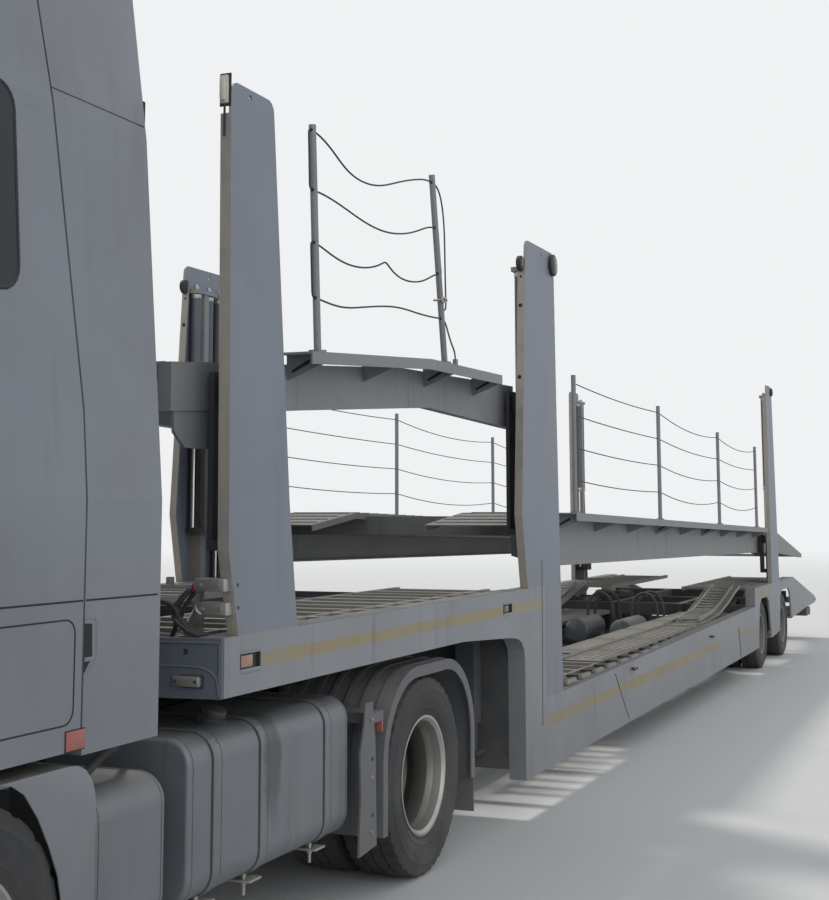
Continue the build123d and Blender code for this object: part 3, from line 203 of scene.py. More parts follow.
def mottle_group():
    """Slow variation of tone over a surface, and a fine grain for bump."""
    tree, into, out = new_group("mottle", [("Scale", 1.5), ("Grain scale", 180.0)], ["Tone", "Grain"])
    place = own(tree)
    tree.links.new(spread(tree, noise(tree, place, into["Scale"], 5, 0.6), 0.3, 0.7), out["Tone"])
    tree.links.new(noise(tree, place, into["Grain scale"], 2, 0.5), out["Grain"])
    return tree


road_dust, rain_streaks = road_dust_group(), rain_streak_group()
paint_chips, mottle = chip_group(), mottle_group()
dust_colour = (0.265, 0.252, 0.228)
grime_colour = (0.055, 0.052, 0.05)
rust_colour = (0.13, 0.055, 0.025)
finishes = {}


def new_material(name, colour, roughness, metallic=0.0, **sockets):
    """A Principled material, kept among the finishes; returns its tree and shader node."""
    material = finishes[name] = bpy.data.materials.new(name)
    material.use_nodes = True
    material.diffuse_color = (*colour, 1)
    shader = material.node_tree.nodes["Principled BSDF"]
    sockets |= {"Base Color": (*colour, 1), "Roughness": roughness, "Metallic": metallic}
    for socket, value in sockets.items():
        shader.inputs[socket.replace("_", " ")].default_value = value
    return material.node_tree, shader


# What dust, streaks and tone add to a finish's roughness, and what dust adds to its relief
dust_dulls, streaks_dull, tone_dulls, dust_rises = 0.4, 0.25, 0.1, 0.6
relief_depth = 0.002


def weathered(name, colour, roughness, dust, streaks, chips, top, tone=0.12, metallic=0.0, bump=0.12,
              grain=180.0, marks=None, **sockets):
    """A finish with tone variation, its own marks, chips, rain streaks and road dust, in that order."""
    tree, shader = new_material(name, colour, roughness, metallic, **sockets)
    variation = group_outputs(tree, mottle, scale=1.3, grain_scale=grain)
    darker = tuple(c * (1 - tone) for c in colour)
    lighter = tuple(min(1, c * (1 + tone)) for c in colour)
    shade = blend_colours(tree, variation["Tone"], darker, lighter)
    if marks:
        shade = marks(tree, shade)
    chipped = group_outputs(tree, paint_chips, amount=chips)["Mask"]
    shade = blend_colours(tree, chipped, shade, rust_colour)
    runs = group_outputs(tree, rain_streaks, amount=streaks)["Mask"]
    shade = blend_colours(tree, runs, shade, grime_colour)
    settled = group_outputs(tree, road_dust, amount=dust, top=top)["Mask"]
    shade = blend_colours(tree, settled, shade, dust_colour)
    tree.links.new(shade, shader.inputs["Base Color"])
    dull = plus(tree, times(tree, settled, dust_dulls), times(tree, runs, streaks_dull))
    uneven = plus(tree, dull, times(tree, variation["Tone"], tone_dulls))
    tree.links.new(plus(tree, uneven, roughness - 0.04, clamp=True), shader.inputs["Roughness"])
    height = plus(tree, variation["Grain"], times(tree, settled, dust_rises))
    relief = put(tree, "ShaderNodeBump", {"Strength": bump, "Distance": relief_depth, "Height": height})
    tree.links.new(relief.outputs[0], shader.inputs["Normal"])


# Painted stripes on the trailer's side: station range and height range
stripe_rows = [(-1.87, 1.86, 1.236, 1.29), (-7.7, -1.95, 0.476, 0.551), (-9.8, -8.83, 0.488, 0.538),
               (-11.05, -10.07, 0.868, 0.928)]
stripe_colour = (0.27, 0.215, 0.115)
# Warm beige of the painted highlight that stands in for sunlight on faces turned forwards
forward_highlight_colour = (0.36, 0.315, 0.25)
nose_paint = (0.08, 0.093, 0.118)
# Brown of brake dust, which also serves as painted shade deep inside the wheels
brake_dust_and_shade_colour = (0.055, 0.047, 0.038)
spill_colour = (0.05, 0.055, 0.062)


def side_stripes(tree, shade):
    """Lays the worn yellow stripes over a shade."""
    place = own(tree)
    axis = axes(tree, place)
    ragged = times(tree, minus(tree, noise(tree, place, 14.0, 4), 0.5), 0.012)
    x, z = axis["X"], plus(tree, axis["Z"], ragged)
    total = None
    for rear, front, low, high in stripe_rows:
        inside = None
        for value, operation, limit in ((x, "GREATER_THAN", at(rear)), (x, "LESS_THAN", at(front)),
                                        (z, "GREATER_THAN", low), (z, "LESS_THAN", high)):
            test = math_node(tree, operation, value, limit)
            inside = test if inside is None else times(tree, inside, test)
        total = inside if total is None else plus(tree, total, inside)
    worn = spread(tree, noise(tree, place, 5.0, 6, 0.7), 0.3, 0.62, 0.6, 1.0)
    return blend_colours(tree, times(tree, total, worn), shade, stripe_colour)


def painted_forward_highlight(tree, shade):
    """Painted highlight: faces turned forwards are lightened to a warm beige, in patches, standing in for
    sunlight falling on them.
    """
    facing = axes(tree, own(tree, "Normal"))["X"]
    patchy = spread(tree, noise(tree, own(tree), 6.0, 5, 0.65), 0.25, 0.6, 0.35, 0.85)
    mask = times(tree, spread(tree, facing, 0.75, 0.98), patchy)
    return blend_colours(tree, mask, shade, forward_highlight_colour)


def nose_colour(tree, shade):
    """The trailer's paint on the frame's foremost plates."""
    mask = math_node(tree, "GREATER_THAN", axes(tree, own(tree))["X"], at(2.06))
    return blend_colours(tree, mask, shade, nose_paint)


def brake_dust_and_shade(tree, shade):
    """Brown brake dust together with painted shade, both darkening towards the disc, deep in the wheel."""
    depth = put(tree, "ShaderNodeMath", {0: axes(tree, own(tree))["Y"]}, operation="ABSOLUTE").outputs[0]
    return blend_colours(tree, spread(tree, depth, 1.205, 1.03, 0.0, 0.88), shade, brake_dust_and_shade_colour)


def fuel_spill(tree, shade):
    """A dark, dusty spill down the tank from its filler."""
    place = own(tree)
    axis = axes(tree, place)
    wander = times(tree, minus(tree, noise(tree, place, 5.0, 4), 0.5), 0.22)
    x = plus(tree, axis["X"], wander)
    run = times(tree, spread(tree, x, at(1.52), at(1.58)), spread(tree, x, at(1.7), at(1.64)))
    mask = times(tree, run, spread(tree, axis["Z"], 0.48, 0.75, 0.0, 0.75))
    return blend_colours(tree, mask, shade, spill_colour)


# Weathered finishes: colour, roughness, dust, streaks, chips, the height dust climbs to, and other settings
weathered_rows = {
    "cab paint": ((0.15, 0.165, 0.195), 0.38, 0.42, 0.22, 0.1, 2.4,
                  dict(Coat_Weight=0.35, Coat_Roughness=0.22)),
    "trailer paint": ((0.225, 0.235, 0.255), 0.5, 0.62, 0.35, 0.35, 1.7, dict(marks=side_stripes)),
    "barrel paint": ((0.085, 0.095, 0.115), 0.5, 0.6, 0.5, 0.3, 4.0, {}),
    # The post paint carries a painted highlight on its faces turned forwards
    "post paint": ((0.17, 0.19, 0.235), 0.46, 0.35, 0.3, 0.3, 2.0, dict(marks=painted_forward_highlight)),
    "frame paint": ((0.045, 0.047, 0.052), 0.55, 0.55, 0.4, 0.4, 1.5, dict(marks=nose_colour)),
    "guard panel paint": ((0.2, 0.21, 0.23), 0.45, 0.55, 0.4, 0.1, 1.3, {}),
    "tinted glass": ((0.01, 0.013, 0.022), 0.2, 0.08, 0.05, 0.0, 3.4,
                     dict(bump=0.02, Specular_IOR_Level=0.3)),
    "red reflector": ((0.36, 0.1, 0.085), 0.3, 0.5, 0.0, 0.0, 1.6, dict(grain=500.0)),
    "deck paint": ((0.2, 0.205, 0.215), 0.55, 0.75, 0.4, 0.5, 2.6, {}),
    "tread plate": ((0.29, 0.275, 0.25), 0.62, 0.9, 0.2, 0.7, 2.0, dict(grain=90.0, bump=0.3)),
    "chassis paint": ((0.045, 0.047, 0.052), 0.6, 0.62, 0.3, 0.4, 1.5, {}),
    "tank aluminium": ((0.165, 0.18, 0.2), 0.4, 0.55, 0.5, 0.1, 1.3, dict(metallic=0.3, marks=fuel_spill)),
    "guard plastic": ((0.1, 0.104, 0.115), 0.55, 0.7, 0.25, 0.0, 1.5, dict(bump=0.25)),
    "black rubber": ((0.02, 0.02, 0.021), 0.7, 0.45, 0.0, 0.0, 1.4, {}),
    "tyre rubber": ((0.022, 0.023, 0.026), 0.74, 0.4, 0.0, 0.0, 1.6, dict(grain=120.0, bump=0.35, tone=0.25)),
    "wheel silver": ((0.42, 0.41, 0.39), 0.36, 0.28, 0.3, 0.4, 1.3, dict(metallic=0.8, marks=brake_dust_and_shade)),
    # The trailer's rims: a darker copy of the wheel paint, which is painted shade
    "trailer wheel paint in painted shade": ((0.16, 0.155, 0.145), 0.55, 0.6, 0.3, 0.5, 1.2,
                            dict(metallic=0.2, marks=brake_dust_and_shade)),
    "bright steel": ((0.5, 0.5, 0.5), 0.22, 0.2, 0.1, 0.0, 1.5, dict(metallic=1.0, bump=0.03)),
    "zinc steel": ((0.42, 0.41, 0.39), 0.45, 0.5, 0.2, 0.3, 2.0, dict(metallic=0.8)),
    "cab plastic": ((0.035, 0.036, 0.04), 0.6, 0.3, 0.05, 0.0, 3.0, dict(grain=400.0, bump=0.2)),
    "seat cloth": ((0.06, 0.062, 0.07), 0.9, 0.1, 0.0, 0.0, 1.4,
                   dict(grain=700.0, bump=0.5, Sheen_Weight=0.3)),
    "rope fibre": ((0.035, 0.036, 0.04), 0.75, 0.15, 0.0, 0.0, 1.4, dict(grain=300.0, bump=0.6)),
}
for name, (*plain, more) in weathered_rows.items():
    weathered(name, *plain, **more)
new_material("shadow gap", (0.012, 0.012, 0.014), 0.8)
new_material("mirror glass", (0.75, 0.78, 0.8), 0.04, 1.0)


def lens_material(name, colour, clearness):
    """A ribbed, dusty lamp lens."""
    tree, shader = new_material(name, colour, 0.15, Transmission_Weight=clearness, IOR=1.49)
    settled = group_outputs(tree, road_dust, amount=0.5, top=3.0)["Mask"]
    tree.links.new(blend_colours(tree, settled, colour, dust_colour), shader.inputs["Base Color"])
    tree.links.new(plus(tree, times(tree, settled, 0.5), 0.12), shader.inputs["Roughness"])
    ribs = put(tree, "ShaderNodeTexWave", {"Vector": own(tree), "Scale": 60.0}, bands_direction="Z")
    relief = put(tree, "ShaderNodeBump",
                 {"Strength": 0.3, "Distance": relief_depth, "Height": ribs.outputs["Fac"]})
    tree.links.new(relief.outputs[0], shader.inputs["Normal"])


def window_glass():
    """Clear glass with a little dust on it."""
    tree, shader = new_material("window glass", (0.16, 0.19, 0.22), 0.04, Transmission_Weight=0.85, IOR=1.5)
    settled = group_outputs(tree, road_dust, amount=0.25, top=3.4)["Mask"]
    tree.links.new(plus(tree, settled, 0.03), shader.inputs["Roughness"])


# Lenses: colour and clearness
lens_rows = {"clear lens": ((0.82, 0.84, 0.85), 0.55), "red lens": ((0.45, 0.03, 0.02), 0.55),
             "amber lens": ((0.6, 0.2, 0.03), 0.55), "smoked lens": ((0.07, 0.08, 0.1), 0.55),
             "cream lens": ((0.6, 0.57, 0.5), 0.2), "faded amber lens": ((0.4, 0.2, 0.13), 0.1)}
for name, (colour, clearness) in lens_rows.items():
    lens_material(name, colour, clearness)
window_glass()

# Floor, backdrop and lights
backdrop_colour = (0.87, 0.88, 0.89)
sky_colour, sky_strength = (0.93, 0.97, 1.0), 0.62
floor_radius, fade_start, fade_end = 90, 16, 60
# Lamps: strength, colour, apparent size in degrees and direction
lamp_rows = {"key": (1.5, (1.0, 0.96, 0.9), 9, (0.35, 0.75, -1.15)),
             "fill": (0.8, (0.92, 0.96, 1.0), 60, (-0.75, -0.95, -0.35))}


def make_floor():
    """A wide round floor that fades into the backdrop."""
    mesh = bpy.data.meshes.new("floor")
    sheet = bmesh.new()
    bmesh.ops.create_circle(sheet, cap_ends=True, segments=96, radius=floor_radius)
    sheet.to_mesh(mesh)
    sheet.free()
    floor = new_object("floor", mesh)
    tree, shader = new_material("studio floor", (0.62, 0.62, 0.62), 0.85)
    distance = put(tree, "ShaderNodeVectorMath", {0: own(tree)}, operation="LENGTH").outputs["Value"]
    glow = put(tree, "ShaderNodeEmission", {"Color": (*backdrop_colour, 1), "Strength": 1.0})
    seen = put(tree, "ShaderNodeLightPath").outputs["Is Camera Ray"]
    mask = times(tree, spread(tree, distance, fade_start, fade_end), seen)
    joined = put(tree, "ShaderNodeMixShader", {0: mask, 1: shader.outputs[0], 2: glow.outputs[0]})
    tree.links.new(joined.outputs[0], tree.nodes["Material Output"].inputs["Surface"])
    mesh.materials.append(finishes["studio floor"])


def make_light():
    """Soft light from the sky and two lamps, with the backdrop shown to the camera, glass and gloss."""
    scene = bpy.context.scene
    world = scene.world = bpy.data.worlds.new("studio")
    world.use_nodes = True
    tree = world.node_tree
    lit = tree.nodes["Background"]
    lit.inputs["Color"].default_value = (*sky_colour, 1)
    lit.inputs["Strength"].default_value = sky_strength
    shown = put(tree, "ShaderNodeBackground", {"Color": (*backdrop_colour, 1), "Strength": 1.0})
    path = put(tree, "ShaderNodeLightPath").outputs
    seen = plus(tree, path["Is Camera Ray"], path["Is Transmission Ray"])
    seen = plus(tree, seen, path["Is Glossy Ray"], clamp=True)
    joined = put(tree, "ShaderNodeMixShader", {0: seen, 1: lit.outputs[0], 2: shown.outputs[0]})
    tree.links.new(joined.outputs[0], tree.nodes["World Output"].inputs["Surface"])
    scene.view_settings.view_transform = "Standard"
    for name, (energy, colour, angle, direction) in lamp_rows.items():
        lamp = bpy.data.lights.new(name, "SUN")
        lamp.energy, lamp.color, lamp.angle = energy, colour, math.radians(angle)
        new_object(name, lamp).rotation_euler = Vector(direction).to_track_quat("-Z", "Y").to_euler()


make_floor()
make_light()


# Helpers for the pieces
def nurbs_curve(name, points, radius, sides, steps):
    """A round cord through points, its bends smoothed; sides is the bevel resolution."""
    curve = bpy.data.curves.new(name, "CURVE")
    curve.dimensions = "3D"
    curve.bevel_depth, curve.bevel_resolution, curve.resolution_u = radius, sides, steps
    curve.use_fill_caps = True
    spline = curve.splines.new("NURBS")
    spline.points.add(len(points) - 1)
    for point, place in zip(spline.points, points):
        point.co = (*place, 1)
    spline.order_u = min(3, len(points))
    spline.use_endpoint_u = True
    return curve


def fit(piece, body, finish, stands_for=()):
    """Gives a piece its finish, its body and the CAD nodes that it takes the place of."""
    piece.data.materials.append(finishes[finish])
    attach(piece, body)
    if stands_for:
        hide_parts(*stands_for)
    return piece


# Vertices closer than this are one, and a bevel is at most this share of a box's least size
merge_distance, bevel_share = 1e-6, 0.45
tube_steps = 5
smooth_angle, tyre_smooth_angle = 32, 40
# A bolt's washer and head: start, end and radius as shares of its size, and sides
bolt_rows = ((0, 0.25, 1.15, 12), (0.2, 0.95, 0.85, 6))


class Work:
    """A piece in the making. Places are a station, a distance from the centre on its side and a height."""

    def __init__(self, side=None):
        self.mesh = bmesh.new()
        self.side = side or 1
        self.ending = f"_{words[side]}" if side else ""

    def spot(self, ahead, across, height):
        """A place in the scene."""
        return Vector((at(ahead), self.side * across, height))

    def round_off(self, verts, offset, segments=2, along=None):
        """Bevels the edges at these vertices, or only those square to a direction."""
        edges = list(dict.fromkeys(edge for vert in verts for edge in vert.link_edges))
        if along is not None:
            edges = [edge for edge in edges
                     if abs((edge.verts[0].co - edge.verts[1].co).dot(along)) < merge_distance]
        bmesh.ops.bevel(self.mesh, geom=edges, offset=offset, segments=segments, affect="EDGES", profile=0.5,
                        material=-1)

    def box(self, x, y, z, bevel=0.0, segments=2):
        """A box between two stations, two distances and two heights."""
        ends = [self.spot(*end) for end in zip(x, y, z)]
        low, high = Vector(map(min, *ends)), Vector(map(max, *ends))
        size = high - low
        shape = Matrix.Translation((low + high) / 2) @ Matrix.Diagonal((*size, 1))
        made = bmesh.ops.create_cube(self.mesh, size=1, matrix=shape)["verts"]
        if bevel:
            self.round_off(made, min(bevel, min(size) * bevel_share), segments)

    def rod(self, x, y, z, radius, sides=20, tip=None, bevel=0.0):
        """A cylinder, or a cone to a tip; a coordinate that changes along it is a pair, start and end."""
        start, end = (self.spot(*(c[i] if isinstance(c, tuple) else c for c in (x, y, z))) for i in (0, 1))
        along = end - start
        turn = along.to_track_quat("Z", "Y").to_matrix().to_4x4()
        made = bmesh.ops.create_cone(self.mesh, cap_ends=True, segments=sides, radius1=radius,
                                     radius2=radius if tip is None else tip, depth=along.length,
                                     matrix=Matrix.Translation((start + end) / 2) @ turn)["verts"]
        if bevel:
            self.round_off(made, bevel, along=along)

    def thicken(self, verts, shift):
        """A wall from the face of these vertices along the shift; returns all its vertices."""
        grown = bmesh.ops.extrude_face_region(self.mesh, geom=[self.mesh.faces.new(verts)])["geom"]
        moved = [item for item in grown if isinstance(item, bmesh.types.BMVert)]
        bmesh.ops.translate(self.mesh, verts=moved, vec=shift)
        faces = list(dict.fromkeys(face for vert in verts + moved for face in vert.link_faces))
        bmesh.ops.recalc_face_normals(self.mesh, faces=faces)
        return verts + moved

    def prism(self, outline, axis, low, high, bevel=0.0):
        """Extrudes an outline along an axis; its pairs are the two other coordinates, in X, Y, Z order."""
        index = "xyz".index(axis)
        shift = Vector((0, 0, 0))
        shift[index] = (high - low) * (self.side if axis == "y" else 1)
        verts = [self.mesh.verts.new(self.spot(*pair[:index], low, *pair[index:])) for pair in outline]
        made = self.thicken(verts, shift)
        if bevel:
            self.round_off(made, bevel)

    def tube(self, points, radius, sides=2):
        """A round tube through places, its bends smoothed."""
        curve = nurbs_curve("tube", [self.spot(*point) for point in points], radius, sides, tube_steps)
        holder = bpy.data.objects.new("tube", curve)
        mesh = bpy.data.meshes.new_from_object(holder)
        self.mesh.from_mesh(mesh)
        bpy.data.objects.remove(holder)
        bpy.data.curves.remove(curve)
        bpy.data.meshes.remove(mesh)

    def bolt(self, place, way, size):
        """A hexagon head on a washer, standing on a face."""
        for *reach, radius, sides in bolt_rows:
            ends = [tuple(p + w * size * share for p, w in zip(place, way)) for share in reach]
            self.rod(*zip(*ends), size * radius, sides)

    def finish(self, name, body, finish, stands_for=(), angle=smooth_angle):
        """Turns the work into a piece that rides on a body."""
        bmesh.ops.remove_doubles(self.mesh, verts=self.mesh.verts, dist=merge_distance)
        mesh = bpy.data.meshes.new(name + self.ending)
        self.mesh.to_mesh(mesh)
        self.mesh.free()
        mesh.polygons.foreach_set("use_smooth", [True] * len(mesh.polygons))
        mesh.set_sharp_from_angle(angle=math.radians(angle))
        return fit(new_object(name + self.ending, mesh), body, finish, stands_for)


def works(side, count):
    """Some pieces begun together, all on one side."""
    return [Work(side) for _ in range(count)]


def rounded(x0, x1, z0, z1, radius, steps=5):
    """A rounded rectangle between two ranges, going round once."""
    points = []
    for cx, cz, start in ((x1 - radius, z1 - radius, 0), (x0 + radius, z1 - radius, 90),
                          (x0 + radius, z0 + radius, 180), (x1 - radius, z0 + radius, 270)):
        turns = [math.radians(start + 90 * i / steps) for i in range(steps + 1)]
        points += [(cx + radius * math.cos(turn), cz + radius * math.sin(turn)) for turn in turns]
    return points


def ring(x, z, radius, count, offset=0.0):
    """Places evenly round a circle."""
    turns = [math.tau * (i + offset) / count for i in range(count)]
    return [(x + radius * math.cos(turn), z + radius * math.sin(turn)) for turn in turns]


def line_height(line, x):
    """Height at a station of a line that runs rearwards through stations and heights."""
    for (x0, z0), (x1, z1) in zip(line, line[1:]):
        if x1 <= x <= x0:
            return z0 + (z1 - z0) * (x - x0) / (x1 - x0)
    return line[-1][1]


# Cords: the front deck's slack ropes, one a side, threaded through the rail posts at four levels
rope_diameter = 0.009
rope_y = 1.245
rope_route = [
    (-0.234, 2.95), (-0.284, 2.953), (-0.287, 3.02), (-0.28, 3.11), (-0.276, 3.21), (-0.273, 3.31),
    (-0.268, 3.4), (-0.254, 3.48), (-0.232, 3.55), (-0.196, 3.605), (-0.148, 3.636), (-0.09, 3.641),
    (-0.02, 3.64), (0.06, 3.629), (0.16, 3.606), (0.27, 3.578), (0.38, 3.546), (0.49, 3.512),
    (0.6, 3.481), (0.71, 3.461), (0.815, 3.453), (0.915, 3.456), (1.005, 3.472), (1.085, 3.498),
    (1.16, 3.528), (1.235, 3.553), (1.31, 3.57), (1.372, 3.576), (1.416, 3.577), (1.413, 3.53),
    (1.408, 3.44), (1.404, 3.35), (1.4, 3.301), (1.355, 3.301), (1.285, 3.303), (1.18, 3.298),
    (1.065, 3.287), (0.95, 3.273), (0.835, 3.26), (0.72, 3.252), (0.605, 3.251), (0.495, 3.258),
    (0.39, 3.272), (0.29, 3.291), (0.195, 3.314), (0.105, 3.341), (0.02, 3.369), (-0.06, 3.389),
    (-0.135, 3.396), (-0.173, 3.394), (-0.181, 3.34), (-0.196, 3.26), (-0.208, 3.192), (-0.222, 3.15),
    (-0.18, 3.149), (-0.1, 3.128), (-0.02, 3.098), (0.07, 3.071), (0.165, 3.053), (0.265, 3.044),
    (0.36, 3.046), (0.445, 3.062), (0.51, 3.086), (0.548, 3.101), (0.59, 3.086), (0.655, 3.063),
    (0.74, 3.042), (0.84, 3.026), (0.945, 3.018), (1.05, 3.02), (1.15, 3.031), (1.24, 3.047),
    (1.305, 3.058), (1.345, 3.062), (1.385, 3.063), (1.383, 3.018), (1.377, 2.935), (1.372, 2.855),
    (1.367, 2.811), (1.325, 2.811), (1.262, 2.808), (1.165, 2.803), (1.06, 2.804), (0.95, 2.815),
    (0.84, 2.832), (0.725, 2.85), (0.61, 2.867), (0.495, 2.881), (0.38, 2.89), (0.265, 2.893),
    (0.15, 2.892), (0.04, 2.893), (-0.065, 2.896), (-0.155, 2.901), (-0.226, 2.905), (-0.262, 2.899),
    (-0.298, 2.868), (-0.33, 2.824), (-0.366, 2.786), (-0.402, 2.757), (-0.426, 2.729), (-0.43, 2.7013),
]
for side, word in words.items():
    route = [(at(x), side * rope_y, z) for x, z in rope_route]
    rope = new_object(f"slack_rope_{word}", nurbs_curve(f"slack_rope_{word}", route, rope_diameter / 2, 3, 4))
    fit(rope, "front_deck", "rope fibre", (f"rope_{word}",))

# Tyres: width, pitch of a twin pair or None, the outer face's distance and the tread's ribs
tyre_rows = {"front": (0.3, None, 1.245, 5), "drive": (0.3, 0.335, 1.245, 4),
             "trailer_front": (0.235, 0.262, 1.24, 5), "trailer_rear": (0.235, 0.262, 1.24, 5)}
tyre_steps = 126
groove_depth = 0.013
crown_drop = 0.006
bead_share = 0.39
rim_edge = 0.0155
shoulder_rows = ((0.02, 0.014), (0.007, 0.02))
tread_inset, rib_round, groove_half = 0.03, 0.005, 0.0035
# Lateral grooves: depth of the cut at the crown and lower down, and where on the tread they reach
crown_cut, shoulder_cut, crown_edge, shoulder_depth, plain_half = 0.01, 0.006, 0.012, 0.022, 0.045
lateral_steps = {"drive": 3}
# The bead's line: rise and distance outwards
bead_rows = ((0, 0), (0.012, 0.004), (0.02, 0.01), (0.03, 0.011))
# A sidewall's line: share of its height and inset from the full width
wall_rows = ((0.14, 0.022), (0.24, 0.01), (0.27, 0.0075), (0.29, 0.0095), (0.42, 0.002), (0.55, 0.0),
             (0.66, 0.002), (0.7, 0.0005), (0.72, 0.004), (0.82, 0.009))


def tyre_section(radius, seat, width, ribs):
    """Closed (radius, offset) section of a tyre, round the bead, sidewalls and grooved tread."""
    half, wall, bead = width / 2, radius - seat, bead_share * width
    side = [(seat + rise, bead + out) for rise, out in bead_rows]
    side += [(seat + share * wall, half - inset) for share, inset in wall_rows]
    side += [(radius - drop, half - inset) for drop, inset in shoulder_rows]
    edge = half - tread_inset
    pitch = 2 * edge / ribs
    tread = []
    for i in range(ribs):
        left = edge - i * pitch
        right = left - pitch
        tread += [(radius - crown_drop * (y / edge) ** 2, y)
                  for y in (left - rib_round, left - pitch / 2, right + rib_round)]
        if i < ribs - 1:
            tread += [(radius - groove_depth, right + way * groove_half) for way in (1, -1)]
    return side + tread + [(r, -y) for r, y in reversed(side)]


def make_tyre(mesh, centre, section, lateral):
    """Spins a section about the axle and cuts lateral grooves in the tread's shoulders."""
    before = set(mesh.verts)
    points = [mesh.verts.new((centre[0] + r, centre[1] + y, centre[2])) for r, y in section]
    edges = [mesh.edges.new(ends) for ends in zip(points, points[1:] + points[:1])]
    bmesh.ops.spin(mesh, geom=points + edges, cent=centre, axis=(0, 1, 0), angle=math.tau, steps=tyre_steps,
                   use_merge=True)
    outer = max(r for r, y in section)
    for vert in mesh.verts:
        if vert in before:
            continue
        dx, dz = vert.co.x - centre[0], vert.co.z - centre[2]
        r = math.hypot(dx, dz)
        step = round(math.atan2(dz, dx) / math.tau * tyre_steps) % tyre_steps
        if r >= outer - shoulder_depth and step % lateral == 0 and abs(vert.co.y - centre[1]) > plain_half:
            share = 1 - crown_cut / outer if r > outer - crown_edge else 1 - shoulder_cut / r
            vert.co.x, vert.co.z = centre[0] + dx * share, centre[2] + dz * share


for place, (width, pitch, face, ribs) in tyre_rows.items():
    for side, word in words.items():
        low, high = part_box(f"tyre_{place}_{word}")
        rim_low, rim_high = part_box(f"rim_{place}_{word}")
        radius, seat = (high.z - low.z) / 2, (rim_high.z - rim_low.z) / 2 - rim_edge
        section = tyre_section(radius, seat, width, ribs)
        work = Work(side)
        for middle in [face - width / 2] + ([face - width / 2 - pitch] if pitch else []):
            make_tyre(work.mesh, ((low.x + high.x) / 2, side * middle, radius), section,
                      lateral_steps.get(place, 6))
        bmesh.ops.recalc_face_normals(work.mesh, faces=work.mesh.faces)
        tyre = work.finish(f"tread_tyre_{place}", f"wheel_{place}_{word}", "tyre rubber",
                           (f"tyre_{place}_{word}",), tyre_smooth_angle)

# Wheel nuts and hub details: bolt circle, nut count, face the nuts stand on, hub end
nut_rows = {"front": (0.135, 10, 1.169, 1.215), "drive": (0.135, 10, 0.9415, 1.0125),
            "trailer_front": (0.12, 8, 1.0055, 1.0765), "trailer_rear": (0.12, 8, 1.0055, 1.0765)}
nut_size, stud_reach, stud_radius = 0.019, 0.034, 0.0085
hub_circle, hub_bolts, hub_bolt_size = 0.058, 8, 0.007
for place, (circle, count, face, hub_end) in nut_rows.items():
    for side, word in words.items():
        low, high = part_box(f"rim_{place}_{word}")
        centre = ((low.x + high.x) / 2 - axle_x, (low.z + high.z) / 2)
        work = Work(side)
        for x, z in ring(*centre, circle, count):
            work.bolt((x, face, z), outwards, nut_size)
            work.rod(x, (face, face + stud_reach), z, stud_radius, 10)
        for x, z in ring(*centre, hub_circle, hub_bolts, 0.5):
            work.bolt((x, hub_end, z), outwards, hub_bolt_size)
        work.finish(f"wheel_nuts_{place}", f"wheel_{place}_{word}", "zinc steel")

# Finish of every CAD node; the rest have the chassis paint
node_rows = {
    "cab paint": "cab_shell cab_roof deflectors door_left door_right bumper",
    "cab plastic": "grille dashboard",
    "seat cloth": "seats", "window glass": "cab_glass door_glass_left door_glass_right",
    "clear lens": "headlamps marker_lamps", "tank aluminium": "tanks", "guard plastic": "mudguards",
    "trailer paint": "side_frames", "frame paint": "cross_frame", "post paint": "posts",
    "tread plate": "treadways", "barrel paint": "lift_barrels",
    "deck paint": "front_deck rear_deck front_deck_rails rear_deck_rails",
}
node_finish = {node: finish for finish, nodes in node_rows.items() for node in nodes.split()}
for name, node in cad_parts.items():
    finish = node_finish.get(name, "chassis paint")
    if name.startswith("rim_"):
        # the trailer's rims take the darker copy of the wheel paint, as painted shade
        finish = "trailer wheel paint in painted shade" if name.startswith("rim_trailer") else "wheel silver"
    node.data.materials.clear()
    node.data.materials.append(finishes[finish])

# Taut wires along the rear deck's rail posts: station, foot and top of a post, then a wire's share and sag
rear_rails = [(-2.78, 1.86, 2.81), (-5.4, 1.8, 2.76), (-8.1, 1.73, 2.66), (-10.4, 1.68, 2.6)]
wire_rows = ((0.94, 0.06), (0.7, 0.03), (0.46, 0.045), (0.22, 0.06))
first_span_sag = 0.35
wire_radius = 0.004
for side in words:
    work = Work(side)
    for (x0, foot0, top0), (x1, foot1, top1) in zip(rear_rails, rear_rails[1:]):
        for share, sag in wire_rows:
            z0, z1 = foot0 + share * (top0 - foot0), foot1 + share * (top1 - foot1)
            drop = 4 * sag * (first_span_sag if x0 == rear_rails[0][0] else 1)
            work.tube([(x0 + (x1 - x0) * t, rope_y, z0 + (z1 - z0) * t - drop * t * (1 - t))
                       for t in (step / 8 for step in range(9))], wire_radius, 1)
    work.finish("rail_wires", "rear_deck", "rope fibre")

# Fuel tanks: straps over rubber, and filler caps. One row per tank: stations, top, straps
tank_rows = [(0.87, 2.28, 1.0, (1.1, 1.7, 2.08)), (2.44, 2.89, 0.91, ())]
tank_bottom, tank_inner, tank_outer, tank_corner = 0.38, 0.52, 1.2, 0.105
# Half width along the tank and height above its skin
strap, strap_rubber, end_seam = (0.028, 0.007), (0.038, 0.003), (0.004, 0.0025)
seam_inset = 0.028
filler_x = 1.86


def hoop_round(work, x, top, half, grow, bevel=0.0):
    """A band round a tank at a station, from the tank's rounded section grown outwards."""
    outline = rounded(tank_inner - grow, tank_outer + grow, tank_bottom - grow, top + grow,
                      tank_corner + grow, 6)
    work.prism(outline, "x", x - half, x + half, bevel)


